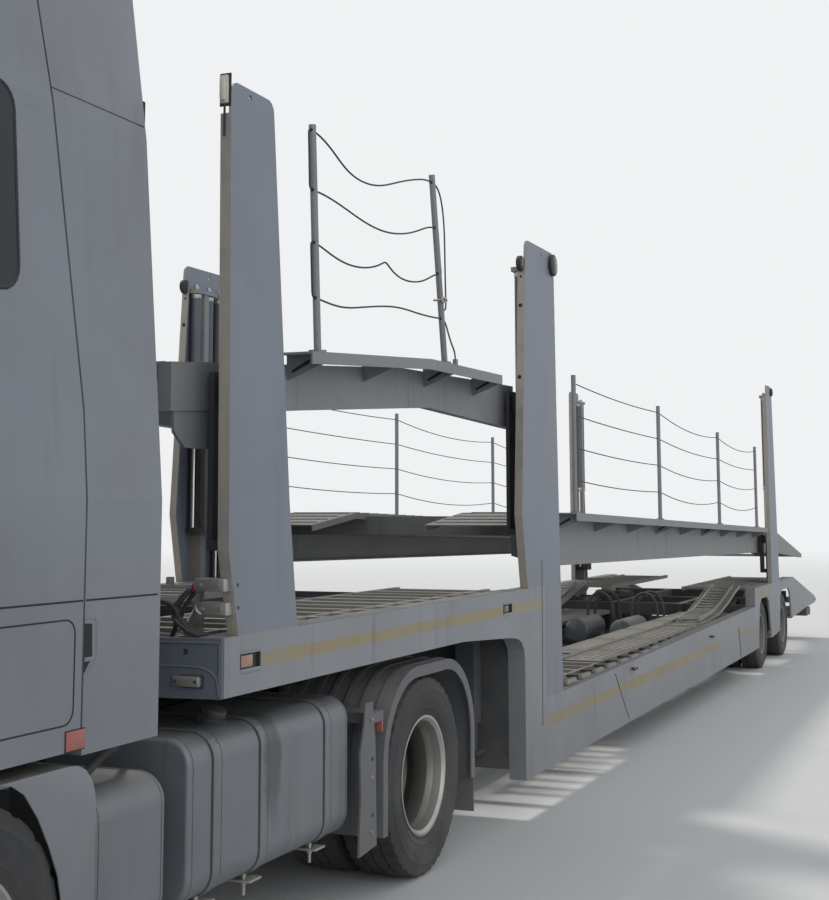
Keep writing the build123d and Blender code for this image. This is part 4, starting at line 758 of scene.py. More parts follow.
for side in words:
    straps, rubbers, caps = works(side, 3)
    for rear, front, top, places in tank_rows:
        for x in places:
            hoop_round(rubbers, x, top, *strap_rubber)
            hoop_round(straps, x, top, *strap, bevel=0.002)
            straps.bolt((x, 0.62, tank_bottom - 0.006), downwards, 0.016)
        for x in (rear + seam_inset, front - seam_inset):
            hoop_round(straps, x, top, *end_seam)
    caps.rod(filler_x, (1.04, 1.052), (0.995, 1.03), 0.062, 28)
    caps.rod(filler_x, (1.05, 1.062), (1.026, 1.06), 0.05, 28, bevel=0.006)
    straps.finish("tank_straps", "tractor", "tank aluminium")
    rubbers.finish("tank_strap_rubbers", "tractor", "black rubber")
    caps.finish("filler_cap", "tractor", "cab plastic")

# Neck: lamps in the side recesses, and the nose's pressings and lamp
trailer_side = 1.275
nose_corner, nose_lean = 2.189, 0.11


def nose_face(y):
    """Station of the nose's front face at this distance from the centre."""
    return nose_corner + (trailer_side - y) * nose_lean


# Recesses: front, rear, low and high edge, name and finish of the lamp
recess_rows = [(2.04, 1.87, 1.22, 1.305, "front", "faded amber lens"),
               (-1.125, -1.29, 1.23, 1.307, "rear", "smoked lens")]
# Distances from the centre of what lies in a recess
recess_back, recess_lamp = (1.2605, 1.2635), (1.2635, 1.2755)
recess_frame, recess_sill = (1.261, 1.2765), (1.262, 1.2768)
nose_lamp_y, nose_lamp_z = (1.077, 1.199), (1.186, 1.226)
nose_crease = 1.352
nose_hole = (1.126, 1.318)
pressing = [(0.6, 1.262), (1.0, 1.262), (1.19, 1.261), (1.225, 1.247), (1.256, 1.222), (1.262, 1.19),
            (1.264, 1.162)]
# Hydraulic blocks: station and lower edge
block_rows = ((2.098, 1.545), (2.08, 1.452))
valve_x = 2.13
valve_hose = [(2.16, 0.86, 1.375), (2.18, 0.86, 1.47), (2.18, 0.93, 1.508), (2.18, 1.02, 1.505),
              (2.18, 1.075, 1.47), (2.17, 1.06, 1.4), (2.15, 1.03, 1.372)]
for side in words:
    frames, silver, ribs, sills = works(side, 4)
    for front, rear, low, high, place, lens in recess_rows:
        x, z = (rear + 0.002, front - 0.002), (low + 0.002, high - 0.002)
        frames.box(x, recess_back, z)
        for ends in ((rear + 0.002, rear + 0.012), (front - 0.008, front - 0.002)):
            frames.box(ends, recess_frame, z, 0.002)
        for ends in ((low + 0.002, low + 0.008), (high - 0.008, high - 0.002)):
            frames.box(x, recess_frame, ends, 0.002)
        for ends in ((low + 0.001, low + 0.017), (high - 0.009, high - 0.001)):
            sills.box((rear + 0.001, front - 0.001), recess_sill, ends, 0.001)
        lamp = Work(side)
        lamp.box((rear + 0.064, front - 0.009), recess_lamp, (low + 0.022, high - 0.015), 0.005)
        lamp.finish(f"side_lamp_{place}", "trailer", lens)
    face = nose_face(sum(nose_lamp_y) / 2)
    silver.box((face - 0.012, face + 0.022), nose_lamp_y, nose_lamp_z, 0.007)
    rim = [(low - 0.006, high + 0.006) for low, high in (nose_lamp_y, nose_lamp_z)]
    frames.box((face - 0.015, face + 0.004), *rim, 0.004)
    for y in (1.094, 1.182):
        frames.bolt((face + 0.021, y, 1.206), forwards, 0.006)
    ribs.tube([(nose_face(y), y, z) for y, z in pressing], 0.0055)
    ribs.tube([(nose_face(y), y, nose_crease) for y in (0.5, 0.8, 1.1, 1.268)], 0.006)
    ribs.tube([(nose_face(1.268), 1.268, z) for z in (nose_crease, 1.25, 1.15)], 0.005)
    hole = nose_face(nose_hole[0])
    frames.rod((hole - 0.005, hole + 0.001), *nose_hole, 0.012, 16)
    frames.finish("lamp_frames", "trailer", "black rubber")
    sills.finish("lamp_sills", "trailer", "trailer paint")
    silver.finish("nose_lamp", "trailer", "zinc steel")
    ribs.finish("nose_pressings", "trailer", "frame paint")

    # Hydraulic blocks, valve and hoses on the front post's forward face
    blocks, hoses, red = works(side, 3)
    for x, low in block_rows:
        blocks.box((x - 0.02, x + 0.055), (1.13, 1.262), (low, low + 0.05), 0.003)
        for y in (1.155, 1.235):
            blocks.bolt((x + 0.055, y, low + 0.025), forwards, 0.008)
    blocks.rod((2.12, 2.03), (1.145, 1.03), (1.478, 1.372), 0.028, 24, bevel=0.003)
    blocks.rod((2.03, 2.0), (1.03, 0.99), (1.372, 1.335), 0.014, 16)
    blocks.rod(valve_x, (1.19, 1.125), (1.573, 1.556), 0.021, 20, bevel=0.002)
    red.rod(valve_x, (1.1215, 1.1165), (1.555, 1.5537), 0.0222, 20)
    for x, drop in ((0.0, 0.0), (0.03, 0.012), (-0.028, 0.03)):
        hoses.tube([(valve_x + x, 1.112, 1.552), (2.15 + x, 1.07, 1.52 - drop),
                    (2.14 + x, 1.04, 1.46 - drop), (2.16 + x, 1.08, 1.42), (2.15 + x, 1.13, 1.385),
                    (2.12 + x, 1.16, 1.372)], 0.009)
    hoses.tube(valve_hose, 0.01)
    blocks.finish("valve_blocks", "trailer", "zinc steel")
    hoses.finish("neck_hoses", "trailer", "black rubber")
    red.finish("valve_rings", "trailer", "red lens")

# Cross bar between the front posts, with its stubs and lugs
work = Work()
work.box((1.985, 2.035), (-1.08, 1.08), (1.545, 1.562), 0.003)
for y in (-1.065, 1.065):
    work.box((1.99, 2.03), (y - 0.015, y + 0.015), (1.345, 1.55), 0.003)
for y in (-0.93, -0.62, 0.62, 0.93):
    work.box((1.995, 2.025), (y - 0.012, y + 0.012), (1.56, 1.592), 0.003)
work.finish("neck_cross_bar", "trailer", "tread plate")

# Marker lamps: slim lenses in rubber holders, at the front posts' tops and at the tail
for side in words:
    holders, fronts, tails = works(side, 3)
    fronts.box((2.1695, 2.188), (1.2295, 1.2665), (3.4915, 3.6105), 0.009)
    fronts.box((2.18, 2.2045), (1.2345, 1.2615), (3.5, 3.602), 0.011)
    holders.rod(2.176, 1.248, (3.36, 3.4945), 0.005, 8)
    holders.box((-15.286, -15.1605), (1.182, 1.268), (0.522, 0.558), 0.003)
    tails.box((-15.2998, -15.284), (1.186, 1.264), (0.525, 0.555), 0.004)
    holders.finish("marker_holders", "trailer", "black rubber", ("marker_lamps",))
    fronts.finish("marker_lenses", "trailer", "cream lens", ("marker_lamps",))
    tails.finish("tail_markers", "trailer", "red lens", ("marker_lamps",))

# Joints and weld seams on the trailer's sides: two ends, in station and height, and the line's radius
joint_rows = [((-3.669, 0.64), (-4.06, 0.262), 0.0035), ((-1.893, 1.535), (-1.871, 0.5), 0.0025),
              ((-8.83, 0.6), (-8.93, 0.28), 0.0025), ((-8.865, 0.6), (-8.965, 0.28), 0.0025)]
for side in words:
    joints = Work(side)
    for (x0, z0), (x1, z1), radius in joint_rows:
        joints.rod((x0, x1), trailer_side, (z0, z1), radius, 8)
    joints.finish("side_joints", "trailer", "shadow gap")

# Post lamps, bolt heads and holes. Lamps: station, height, radius, the rubber's two faces
post_side = 1.2745
post_lamp_rows = ((-2.185, 3.505, 0.074, post_side, 1.299), (-1.6, 3.43, 0.05, 1.232, 1.2625),
                  (-11.55, 3.33, 0.05, post_side, 1.298))
# Holes: height and radius, on a line that leans back from its foot
hole_rows = ((3.347, 0.008), (3.158, 0.013), (2.696, 0.013))
hole_foot, hole_lean, hole_y = (-1.5, 1.83), 0.074, 1.247
for side in words:
    rubbers, glasses, holes = works(side, 3)
    for x, z in ((2.066, 1.568), (2.06, 1.479)):
        rubbers.rod(x, (post_side, post_side + 0.0011), z, 0.008, 14)
    for x, z, r, y0, y1 in post_lamp_rows:
        rubbers.rod(x, (y0, y1), z, r, 32, bevel=0.006)
        glasses.rod(x, (y1, y1 + 0.007), z, r * 0.78, 32, tip=r * 0.6)
    rubbers.box((2.166, 2.173), (1.222, post_side), (3.482, 3.62), 0.003)
    for z, radius in hole_rows:
        x = hole_foot[0] - hole_lean * (z - hole_foot[1])
        holes.rod((x - 0.002, x + 0.0015), hole_y, z, radius, 16)
    holes.finish("post_holes", "trailer", "shadow gap")
    rubbers.finish("post_lamp_rubbers", "trailer", "black rubber")
    glasses.finish("post_lamp_glasses", "trailer", "smoked lens")

# Lift columns: station, gland height, top, deck body, rod foot and rod top
column_rows = [(1.93, 2.4, 3.39, "front", 1.742, 2.695), (-1.785, 2.4, 3.39, "front", 1.742, 2.695),
               (-2.105, 2.02, 3.39, "rear", 0.832, 2.345), (-11.47, 2.1, 3.25, "rear", 1.122, 2.205)]
column_y = 1.212
barrel_offset = 0.085
gland_radius, cap_radius, rod_radius, hose_radius = 0.0395, 0.0385, 0.0205, 0.0075
# Hose ports above the gland and below the top, and how far from the middle the ports and hoses stand
low_port, high_port = 0.1, 0.09
port_end, hose_end, hose_middle = 0.45, 0.48, 0.2
for side in words:
    caps, hoses, front_rods, rear_rods = works(side, 4)
    rods = {"front": front_rods, "rear": rear_rods}
    for x, gland, top, deck, foot, rod_top in column_rows:
        for dx in (-barrel_offset, barrel_offset):
            barrel = x + dx
            caps.rod(barrel, column_y, (gland + 0.002, gland + 0.045), gland_radius, 28, bevel=0.003)
            caps.rod(barrel, column_y, (top - 0.035, top - 0.001), cap_radius, 28, bevel=0.003)
            caps.rod(barrel, column_y, (top + 0.03, top + 0.052), 0.024, 6)
            caps.rod(barrel, column_y, (top + 0.05, top + 0.066), 0.012, 12)
            for z in (gland + low_port, top - high_port):
                caps.rod((barrel, x + dx * port_end), column_y, z, 0.01, 12)
            rods[deck].rod(barrel, column_y, (foot, rod_top), rod_radius, 24)
            near, middle = x + dx * hose_end, x + dx * hose_middle
            line = [(near, top - high_port), (middle, top - high_port - 0.005), (middle, top - 0.3),
                    (middle, gland + 0.35), (middle, gland + low_port + 0.005), (near, gland + low_port)]
            hoses.tube([(along, column_y, z) for along, z in line], hose_radius)
    caps.finish("barrel_caps", "trailer", "zinc steel")
    hoses.finish("column_hoses", "trailer", "black rubber")
    for deck, rod in rods.items():
        rod.finish(f"bright_rods_{deck}", f"{deck}_deck_carriages", "bright steel")

# Drive guards: pressed ribs, the front reflector and bolts
guard_radius, guard_crown = 0.43, 1.064
# Foot of each end, and centre of each bend with its first angle
guard_front, guard_rear = (0.57, 0.32), (-0.703, 0.4)
guard_bends = ((0.14, 0), (-0.273, 90))
guard_rib_places, guard_rib_half = (0.64, 0.73, 0.82, 0.91, 1.0, 1.09, 1.18), 0.014


def guard_line(grow):
    """The drive guard's outer line in X and Z, from its front foot to its rear foot."""
    radius = guard_radius + grow
    points = [(guard_front[0] + grow, guard_front[1])]
    for cx, start in guard_bends:
        turns = [math.radians(start + a) for a in range(0, 91, 6)]
        points += [(cx + radius * math.cos(turn), guard_crown - guard_radius + radius * math.sin(turn))
                   for turn in turns]
    return points + [(guard_rear[0] - grow, guard_rear[1])]


for side in words:
    ribs, reflector, skirt = works(side, 3)
    for y in guard_rib_places:
        ribs.prism(guard_line(0.005) + guard_line(-0.004)[::-1], "y", y - guard_rib_half, y + guard_rib_half)
    reflector.box((0.571, 0.582), (1.192, 1.244), (0.796, 0.858), 0.003)
    for z in (0.875, 0.61, 0.36):
        skirt.bolt((0.72, 1.247, z), outwards, 0.01)
    ribs.finish("guard_ribs", "tractor", "guard plastic")
    reflector.finish("guard_reflector", "tractor", "red reflector")
    skirt.finish("skirt_bolts", "tractor", "zinc steel")

# Tank feet, hooks and the entry step beside the short tank
hook_y, hook_offset = 1.13, 0.03
step_x = (2.36, 2.93)
step_bars, step_pitch, step_bar = 14, 0.04, 0.012
for side in words:
    feet = Work(side)
    for x in tank_rows[0][-1]:
        feet.box((x - 0.05, x + 0.05), (1.02, 1.17), (0.352, 0.362), 0.002)
        feet.box((x - 0.012, x + 0.012), (1.1, 1.12), (0.352, 0.385))
        feet.rod(x + hook_offset, hook_y, (0.3, 0.4), 0.007, 10)
        feet.bolt((x + hook_offset, hook_y, 0.352), downwards, 0.013)
    feet.box(step_x, (1.02, 1.235), (0.335, 0.352), 0.003)
    feet.box(step_x, (1.226, 1.238), (0.3, 0.372), 0.004)
    for i in range(step_bars):
        x = step_x[0] + 0.025 + step_pitch * i
        feet.box((x, x + step_bar), (1.03, 1.22), (0.351, 0.356))
    feet.finish("tank_feet", "tractor", "zinc steel")

# Lower treadways: pressed wheel plates, a ramp to the bogie, rubber strips and tie-down studs
ramp = [(-7.62, 0.692), (-8.2, 0.7), (-8.75, 0.735), (-9.25, 0.82), (-9.7, 0.915), (-9.99, 0.965)]
plate_x, plate_y = (-7.55, -4.05), (0.74, 1.1)
lug_count, lug_pitch, lug_length, lug_width = 27, 0.125, 0.06, 0.026
lug_places = (0.8, 0.87, 0.94, 1.01)
ramp_lugs = 15
strip_count, strip_pitch = 20, 0.36
stud_places, stud_y, stud_z = (-4.18, -7.29), 1.306, 0.628


def band(line, rise, drop=0.0):
    """The outline between a line raised and the same line lowered."""
    return [(x, z + rise) for x, z in line] + [(x, z - drop) for x, z in reversed(line)]


for side in words:
    plates, strips, studs, knobs = works(side, 4)
    plates.box(plate_x, plate_y, (0.682, 0.69), 0.002)
    for y in (plate_y[0], plate_y[1] - 0.015):
        plates.box(plate_x, (y, y + 0.015), (0.682, 0.712), 0.003)
    for i in range(lug_count):
        for j, y in enumerate(lug_places):
            x = plate_x[1] - 0.15 - lug_pitch * i - (0.05 if j % 2 else 0)
            plates.box((x - lug_length, x), (y, y + lug_width), (0.689, 0.6955), 0.003)
    plates.prism(band(ramp, 0.0, 0.008), "y", *plate_y)
    for y in (plate_y[0], plate_y[1] - 0.012):
        plates.prism(band(ramp, 0.03, 0.008), "y", y, y + 0.012)
    for i in range(ramp_lugs):
        span, share = divmod(i / ramp_lugs * (len(ramp) - 1), 1)
        (x0, z0), (x1, z1) = ramp[int(span)], ramp[int(span) + 1]
        x, z = x0 + (x1 - x0) * share, z0 + (z1 - z0) * share
        plates.box((x - 0.09, x - 0.03), (0.79, 1.05), (z - 0.004, z + 0.01), 0.004)
    for i in range(strip_count):
        x = -2.6 - strip_pitch * i
        strips.box((x - 0.16, x), (1.105, 1.2), (0.684, 0.7), 0.003)
        plates.box((x - 0.2, x + 0.02), (1.198, 1.232), (0.672, 0.706), 0.004)
    for x in stud_places:
        studs.rod(x, (1.24, stud_y + 0.006), stud_z, 0.01, 14)
        studs.rod((x - 0.045, x + 0.045), stud_y, stud_z, 0.009, 12)
        knobs.rod((x + 0.036, x + 0.052), stud_y, stud_z, 0.012, 12, bevel=0.002)
    plates.finish("wheel_plates", "trailer", "tread plate")
    strips.finish("rubber_strips", "trailer", "black rubber")
    studs.finish("tie_down_studs", "trailer", "black rubber")
    knobs.finish("stud_knobs", "trailer", "red lens")

# Anti-slip bars across the upper decks' tracks: body, deck line, first and last station, pitch
deck_rows = [("front_deck", [(2.295, 2.44), (0, 2.62), (-1.88, 2.665)], 2.2, -1.8, 0.16),
             ("rear_deck",
              [(-1.99, 1.76), (-2.7, 1.84), (-11.2, 1.63), (-12.7, 1.58), (-15.2, 1.2)],
              -2.1, -15.1, 0.18)]
track = (0.45, 1.0)
bar_width = 0.022
# Every fourth bar has a button at these places
button_places, button_radius = (0.5, 0.95), 0.024
for body, line, first, last, pitch in deck_rows:
    bars = Work()
    for i in range(int((first - last) / pitch)):
        x = first - i * pitch
        z = line_height(line, x)
        for side in words:
            bars.box((x - bar_width, x), [side * y for y in track], (z - 0.003, z + 0.007))
            if i % 4 == 0:
                for y in button_places:
                    bars.rod(x - 0.08, side * y, (z - 0.001, z + 0.004), button_radius, 16)
    bars.finish(f"deck_bars_{body}", body, "tread plate")

# Rope clamps on the front deck's rear rail posts
for side in words:
    clamp = Work(side)
    clamp.rod(-0.185, (1.212, 1.29), 3.005, 0.0065, 12)
    clamp.box((-0.232, -0.168), (1.264, 1.274), (2.988, 3.022), 0.003)
    clamp.bolt((-0.215, 1.274, 3.005), outwards, 0.008)
    clamp.finish("rope_clamp", "front_deck", "zinc steel")

# Cab sides: half width of the cab by height
cab_section = [(1.05, 1.245), (1.9, 1.245), (3.25, 1.146), (3.82, 1.068), (3.93, 0.985)]


def cab_skin(z):
    """Half width of the cab at this height."""
    for (z0, y0), (z1, y1) in zip(cab_section, cab_section[1:]):
        if z <= z1:
            return y0 + (y1 - y0) * max(0, z - z0) / (z1 - z0)
    return cab_section[-1][1]


def skin_line(work, line, radius, proud=0.0):
    """A thin bead along the cab's skin through stations and heights, every corner kept."""
    for (x0, z0), (x1, z1) in zip(line, line[1:]):
        work.rod((x0, x1), (cab_skin(z0) + proud, cab_skin(z1) + proud), (z0, z1), radius, 8)


def skin_loop(work, line, radius, proud=0.0):
    """The same bead, closed to a loop."""
    skin_line(work, line + line[:1], radius, proud)


def skin_panel(work, outline, thick):
    """A sheet laid on the cab's skin."""
    verts = [work.mesh.verts.new(work.spot(x, cab_skin(z) + 0.0008, z)) for x, z in outline]
    work.thicken(verts, (0, work.side * thick, 0))


sleeper_window = rounded(3.378, 3.9, 2.562, 3.25, 0.085)
door_window = [(4.05, 2.08), (4.65, 2.08), (4.49, 2.94), (4.05, 2.94)]
latch = [(3.0405, 1.487), (3.001, 1.484), (2.996, 1.375), (3.0405, 1.325)]
latch_rim = [(3.0405, 1.502), (2.985, 1.502), (2.974, 1.492), (2.97, 1.37), (3.0405, 1.296)]
for side, word in words.items():
    seams, hook, window, trim, reflector, door, mirrors = works(side, 7)
    skin_line(seams, [(2.6, 1.56), (3.035, 1.563)], 0.0032)
    skin_line(seams, [(3.055, 1.563), (3.94, 1.566)], 0.0032)
    skin_loop(seams, rounded(3.093, 3.9, 1.168, 1.505, 0.05), 0.0028)
    skin_panel(seams, latch, 0.0015)
    hook.box((2.995, 3.0405), (1.2455, 1.2485), (1.362, 1.376), 0.001)
    skin_line(hook, latch_rim, 0.0022)
    hook.finish("latch_hook", "cab", "cab paint")
    seams.box((2.562, 2.58), (cab_skin(3.36) - 0.03, cab_skin(3.36) - 0.004), (3.3, 3.41), 0.004)
    skin_panel(window, sleeper_window, 0.003)
    window.finish("sleeper_window", "cab", "tinted glass")
    skin_loop(trim, sleeper_window, 0.007, 0.001)
    trim.finish("window_trim", "cab", "black rubber")
    seams.box((3.0255, 3.1345), (1.2445, 1.2465), (1.0805, 1.1495))
    reflector.box((3.029, 3.131), (1.2452, 1.25), (1.084, 1.146), 0.001)
    reflector.finish("side_reflector", "cab", "red reflector")
    seams.finish("cab_seams", "cab", "shadow gap")
    # Door: handle in its dish, trim round the window, step guard, and the mirrors' faces
    skin_panel(door, rounded(4.02, 4.19, 1.86, 1.96, 0.03), 0.002)
    door.box((4.03, 4.18), (1.251, 1.272), (1.895, 1.925), 0.008)
    skin_loop(door, door_window, 0.008)
    skin_panel(door, rounded(4.0, 4.72, 1.3, 1.42, 0.03), 0.004)
    door.finish("door_furniture", f"door_{word}", "cab plastic")
    for z in ((2.15, 2.5), (2.53, 2.84)):
        mirrors.box((4.557, 4.5605), (1.315, 1.495), z, 0.001)
    mirrors.finish("mirror_faces", f"door_{word}", "mirror glass")

# Front mudguards: outer panels behind the wheels, with the coolant hose between guard and tank
guard_outer = [(2.95, 0.42), (2.95, 0.884), (2.957, 0.93), (2.978, 0.975), (3.012, 1.01), (3.055, 1.029),
               (3.1, 1.035), (3.47, 1.035)]
guard_opening = [(3.4, 1.022), (3.335, 0.985), (3.262, 0.9), (3.2, 0.8), (3.15, 0.7),
                 (3.125, 0.6), (3.125, 0.42)]
for side in words:
    panels, hoses = works(side, 2)
    panels.prism(guard_outer + guard_opening, "y", 1.24, 1.2465, 0.002)
    panels.prism(rounded(2.958, 3.1, 0.43, 0.5, 0.01), "y", 1.244, 1.249)
    panels.finish("front_guard_panel", "tractor", "guard panel paint")
    hoses.tube([(2.99, 1.17, 0.9), (2.93, 1.17, 0.965), (2.83, 1.14, 0.985), (2.72, 1.1, 1.0),
                (2.6, 1.06, 1.005), (2.45, 0.98, 0.99)], 0.017)
    hoses.rod(2.955, 1.13, (0.56, 0.66), 0.055, 20)
    hoses.box((2.915, 2.95), (1.06, 1.2), (0.3, 0.56), 0.004)
    hoses.finish("guard_hoses", "tractor", "black rubber")

# Cab front: wipers, plain grille bars, blank plate, lamp bowls and roof lamps
wiper_places = (-0.62, 0.0, 0.62)
grille_bars, grille_pitch, grille_foot, grille_bar = 6, 0.09, 1.157, 0.013
plate_face, plate_z = 4.961, 0.556
bowl_places, bowl_z, bowl_radius = (0.85, 1.0), 0.66, 0.06
roof_lamp_places = (0.35, 0.78)
wipers, bars, plate = works(None, 3)
for y in wiper_places:
    wipers.tube([(4.905, y, 2.015), (4.915, y + 0.02, 2.05), (4.868, y + 0.34, 2.2)], 0.008)
    wipers.box((4.878, 4.895), (y + 0.05, y + 0.62), (2.055, 2.072), 0.003)
    wipers.rod((4.88, 4.92), y, 2.01, 0.022, 16)
wipers.finish("wipers", "cab", "black rubber")
for i in range(grille_bars):
    z = grille_foot + grille_pitch * i
    bars.box((4.921, 4.9265), (-0.672, 0.672), (z, z + grille_bar), 0.002)
bars.finish("grille_trim", "cab", "zinc steel")
plate.box((4.953, plate_face), (-0.26, 0.26), (plate_z - 0.056, plate_z + 0.056), 0.002)
for y in (0.22, -0.22):
    plate.bolt((plate_face, y, plate_z), forwards, 0.006)
plate.finish("front_plate_blank", "tractor", "zinc steel")
for side in words:
    bowls, roof = works(side, 2)
    for y in bowl_places:
        bowls.rod((4.935, 4.9605), y, bowl_z, bowl_radius, 32, tip=bowl_radius * 1.1)
    bowls.finish("lamp_bowls", "tractor", "mirror glass")
    for y in roof_lamp_places:
        roof.rod((4.205, 4.243), y, (3.545, 3.583), 0.032, 20, tip=0.024)
    roof.finish("roof_lamps", "cab", "amber lens")

# Seats and bunk: padded forms over plain bases
seat_rows = [((3.86, 4.34), (0.42, 0.92), (1.565, 1.7)), ((3.76, 3.88), (0.43, 0.91), (1.7, 2.375)),
             ((3.77, 3.86), (0.55, 0.79), (2.385, 2.56))]
bunk_rows = [((3.11, 3.68), (-1.08, 1.08), (1.64, 1.8))]
swell_room = 0.018
swell_cap = 0.022
swell_frames = 20
swell_pressure = 4
form_bevel, form_segments, voxel = 0.035, 3, 0.016
# Two stitched lines, in shares of a form's half width: their place and width, and where they may not reach
piping_place, piping_width, piping_end = 0.55, 0.05, 0.9
piping_reach, piping_depth = 0.03, 0.007


def applied(piece):
    """The piece's mesh with its modifiers applied, which are then taken off."""
    mesh = bpy.data.meshes.new_from_object(piece.evaluated_get(bpy.context.evaluated_depsgraph_get()))
    piece.modifiers.clear()
    return mesh


def swell(piece):
    """Blows the piece up by a short cloth run, each point kept within the cap of its first place."""
    first = [vert.co.copy() for vert in piece.data.vertices]
    cloth = piece.modifiers.new("swell", "CLOTH")
    cloth.settings.use_pressure = True
    cloth.settings.uniform_pressure_force = swell_pressure
    cloth.settings.effector_weights.gravity = 0
    cloth.point_cache.frame_start, cloth.point_cache.frame_end = 1, swell_frames
    for step in range(1, swell_frames + 1):
        bpy.context.scene.frame_set(step)
    swelled = applied(piece)
    bpy.context.scene.frame_set(1)
    piece.data = swelled
    for vert, start in zip(swelled.vertices, first):
        move = vert.co - start
        if move.length > swell_cap:
            vert.co = start + move.normalized() * swell_cap


def soft_form(name, side, rows):
    """Padded forms in the room of some boxes, with two stitched lines across each."""
    work = Work(side)
    rows = [tuple((low + swell_room, high - swell_room) for low, high in row) for row in rows]
    for row in rows:
        work.box(*row, form_bevel, form_segments)
    mesh = bpy.data.meshes.new(name)
    work.mesh.to_mesh(mesh)
    work.mesh.free()
    piece = new_object(name, mesh)
    remesh = piece.modifiers.new("even", "REMESH")
    remesh.mode, remesh.voxel_size = "VOXEL", voxel
    bpy.context.view_layer.update()
    piece.data = applied(piece)
    swell(piece)
    for vert in piece.data.vertices:
        for x, y, z in rows:
            near = [low - piping_reach < place < high + piping_reach
                    for place, (low, high) in ((vert.co.x - axle_x, x), (vert.co.z, z))]
            across = abs(vert.co.y * side - sum(y) / 2) / (y[1] - y[0]) * 2
            if all(near) and across < piping_end:
                groove = math.exp(-((across - piping_place) / piping_width) ** 2)
                toward = Vector((at(sum(x) / 2), vert.co.y, sum(z) / 2)) - vert.co
                vert.co += toward.normalized() * groove * piping_depth
    piece.data.polygons.foreach_set("use_smooth", [True] * len(piece.data.polygons))
    finer = piece.modifiers.new("finer", "SUBSURF")
    finer.levels = finer.render_levels = 1
    fit(piece, "cab", "seat cloth", ("seats",))


for side, word in words.items():
    soft_form(f"seat_pads_{word}", side, seat_rows)
    base = Work(side)
    base.box((3.98, 4.22), (0.54, 0.8), (1.3005, 1.56), 0.02)
    base.box((3.87, 4.33), (0.44, 0.9), (1.545, 1.58), 0.015)
    for y in (0.6, 0.74):
        base.rod(3.815, y, (2.34, 2.42), 0.008, 10)
    base.box((3.765, 3.785), (0.47, 0.87), (1.6, 2.3), 0.01)
    base.finish("seat_base", "cab", "cab plastic", ("seats",))
soft_form("bunk_mattress", 1, bunk_rows)
work = Work()
work.box((3.11, 3.68), (-1.08, 1.08), (1.3005, 1.645), 0.01)
work.finish("bunk_base", "cab", "cab plastic", ("seats",))

# Tail: lamp clusters and a blank plate
tail_face = -15.141
tail_lamp_z, tail_lamp_radius = 0.385, 0.042
for side in words:
    cluster, red, amber = works(side, 3)
    cluster.box((tail_face, tail_face - 0.009), (0.82, 1.19), (0.336, 0.434), 0.002)
    for y, lamp in ((0.89, amber), (1.0, red), (1.11, red)):
        lamp.rod((-15.149, -15.158), y, tail_lamp_z, tail_lamp_radius, 28, tip=0.038)
    cluster.finish("tail_cluster", "trailer", "black rubber")
    red.finish("tail_red", "trailer", "red lens")
    amber.finish("tail_amber", "trailer", "amber lens")
work = Work()
work.box((tail_face, tail_face - 0.006), (-0.26, 0.26), (0.332, 0.438), 0.002)
work.finish("tail_plate_blank", "trailer", "zinc steel")

# An air tank's domed ends: start and end from the tank's end, and the radii there, as shares of its radius
dome_rows = ((0.0, 0.22, 1.0, 0.86), (0.22, 0.36, 0.86, 0.6), (0.36, 0.44, 0.6, 0.12))


def air_tank(work, start, end, radius):
    """An air tank between two places that differ in one coordinate."""
    work.rod(*zip(start, end), radius, 32)
    gap = [b - a for a, b in zip(start, end)]
    way = [share / math.hypot(*gap) for share in gap]
    for point, turn in ((start, -1), (end, 1)):
        for near, far, wide, narrow in dome_rows:
            ends = [tuple(p + turn * w * radius * off for p, w in zip(point, way)) for off in (near, far)]
            work.rod(*zip(*ends), radius * wide, 32, tip=radius * narrow)


# Under the tractor: propshaft and air tanks
shaft_rear, shaft_front = (0.55, 0.58), (2.55, 0.66)
tank_radius, tank_z = 0.115, 0.5
shaft, tanks = works(None, 2)
shaft.rod((shaft_rear[0], shaft_front[0]), 0, (shaft_rear[1], shaft_front[1]), 0.045, 24)
for x, z in (shaft_rear, shaft_front):
    shaft.rod((x - 0.05, x + 0.05), 0, (z - 0.002, z + 0.002), 0.075, 20, bevel=0.01)
shaft.finish("propshaft", "tractor", "chassis paint")
for x in (1.1, 1.42):
    air_tank(tanks, (x, -0.27, tank_z), (x, 0.27, tank_z), tank_radius)
    for y in (-0.18, 0.18):
        tanks.box((x - tank_radius - 0.003, x + tank_radius + 0.003), (y - 0.015, y + 0.015),
                  (tank_z, tank_z + 0.2), 0.003)
tanks.finish("tractor_air_tanks", "tractor", "chassis paint")

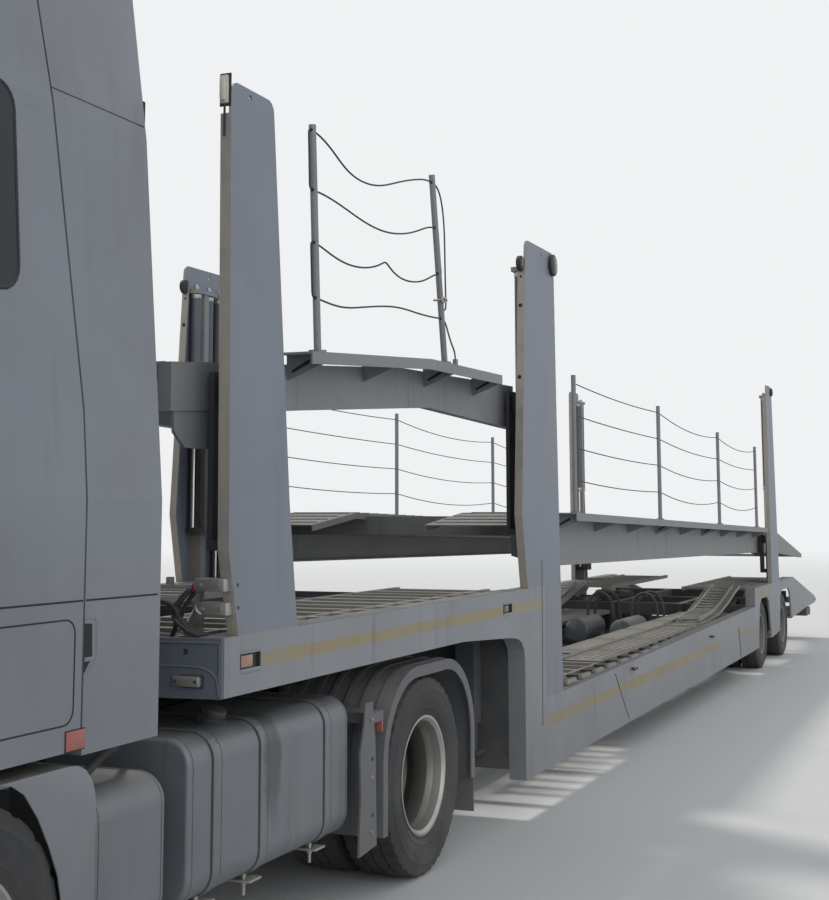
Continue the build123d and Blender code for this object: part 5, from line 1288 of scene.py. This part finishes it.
# In the trailer's well: air tanks, hoops, pipes and stowed ramp sections on the sloped plates
hoop = [(0.1, 0.56), (0.1, 0.8), (0.16, 0.91), (0.25, 0.95), (0.34, 0.91), (0.4, 0.8), (0.4, 0.56)]
hoop_places, hoop_radius = (-8.85, -9.15), 0.016
rails = [(-7.95, 0.712), (-8.75, 0.755), (-9.25, 0.842), (-9.85, 0.965)]
rail_places, rail_width, rung_pitch, rung_radius = (0.8, 1.02), 0.022, 0.12, 0.011
tanks, hoops, pipes, ladders = works(None, 4)
for side in words:
    air_tank(tanks, (-8.55, side * 0.24, 0.6), (-7.85, side * 0.24, 0.6), 0.125)
    for x in (-8.4, -8.0):
        tanks.box((x - 0.015, x + 0.015), (side * 0.1, side * 0.38), (0.38, 0.5), 0.003)
    for x in hoop_places:
        hoops.tube([(x, side * y, z) for y, z in hoop], hoop_radius)
    for y in (0.05, 0.09):
        pipes.tube([(-3.0, side * y, 0.42), (-5.0, side * y, 0.42), (-7.4, side * y, 0.42),
                    (-7.8, side * (y + 0.08), 0.46), (-8.0, side * 0.22, 0.49)], 0.008)
    for y in rail_places:
        ladders.prism(band(rails, 0.045), "y", side * y, side * (y + rail_width))
    for (x0, z0), (x1, z1) in zip(rails, rails[1:]):
        count = round((x0 - x1) / rung_pitch)
        for i in range(count):
            x, z = x0 + (x1 - x0) * i / count, z0 + (z1 - z0) * i / count
            ladders.rod(x, (side * 0.81, side * 1.03), z + 0.03, rung_radius, 8)
tanks.finish("trailer_air_tanks", "trailer", "tank aluminium")
hoops.finish("well_hoops", "trailer", "chassis paint")
pipes.finish("brake_pipes", "trailer", "black rubber")
ladders.finish("stowed_ramps", "trailer", "zinc steel")

# Gussets under the decks' walkways: a slot on the forward face of some. Body, the walkway's edge, stations
walkway_rows = [("front_deck", [(1.42, 2.56), (0, 2.66), (-1.15, 2.67)], (1.3, -0.34, -1.12)),
                ("rear_deck", [(-2.72, 1.839), (-11.0, 1.635)], (-2.8, -5.86, -7.9))]
slot_outline = [(1.115, -0.08), (1.122, -0.091), (1.205, -0.05), (1.212, -0.038), (1.2, -0.034)]
gusset_face = 0.0142
for body, edge, stations in walkway_rows:
    slots = Work()
    for x in stations:
        for side in words:
            slot = [(side * y, line_height(edge, x) + drop) for y, drop in slot_outline]
            slots.prism(slot, "x", x + gusset_face, x + gusset_face + 0.001)
    slots.finish(f"gusset_slots_{body}", body, "shadow gap")

# Windscreen rubber, on the cab's sloping front, and the deflectors' trims
screen = [(-1.105, 2.052), (1.105, 2.052), (1.045, 3.018), (-1.045, 3.018)]
screen_foot, screen_lean = (4.901, 1.95), 0.26 / 1.1
screen = [(screen_foot[0] - screen_lean * (z - screen_foot[1]), y, z) for y, z in screen]
rubber_radius, trim_radius = 0.011, 0.006
rubber = Work()
for start, end in zip(screen, screen[1:] + screen[:1]):
    rubber.rod(*zip(start, end), rubber_radius, 10)
rubber.finish("windscreen_rubber", "cab", "black rubber")
trim_heights = (1.07, 1.9, 3.25, 3.293)
for side in words:
    trim = Work(side)
    line = [(2.5815, cab_skin(z) - 0.006, z) for z in trim_heights]
    for start, end in zip(line, line[1:]):
        trim.rod(*zip(start, end), trim_radius, 8)
    trim.finish("deflector_trim", "cab", "black rubber")
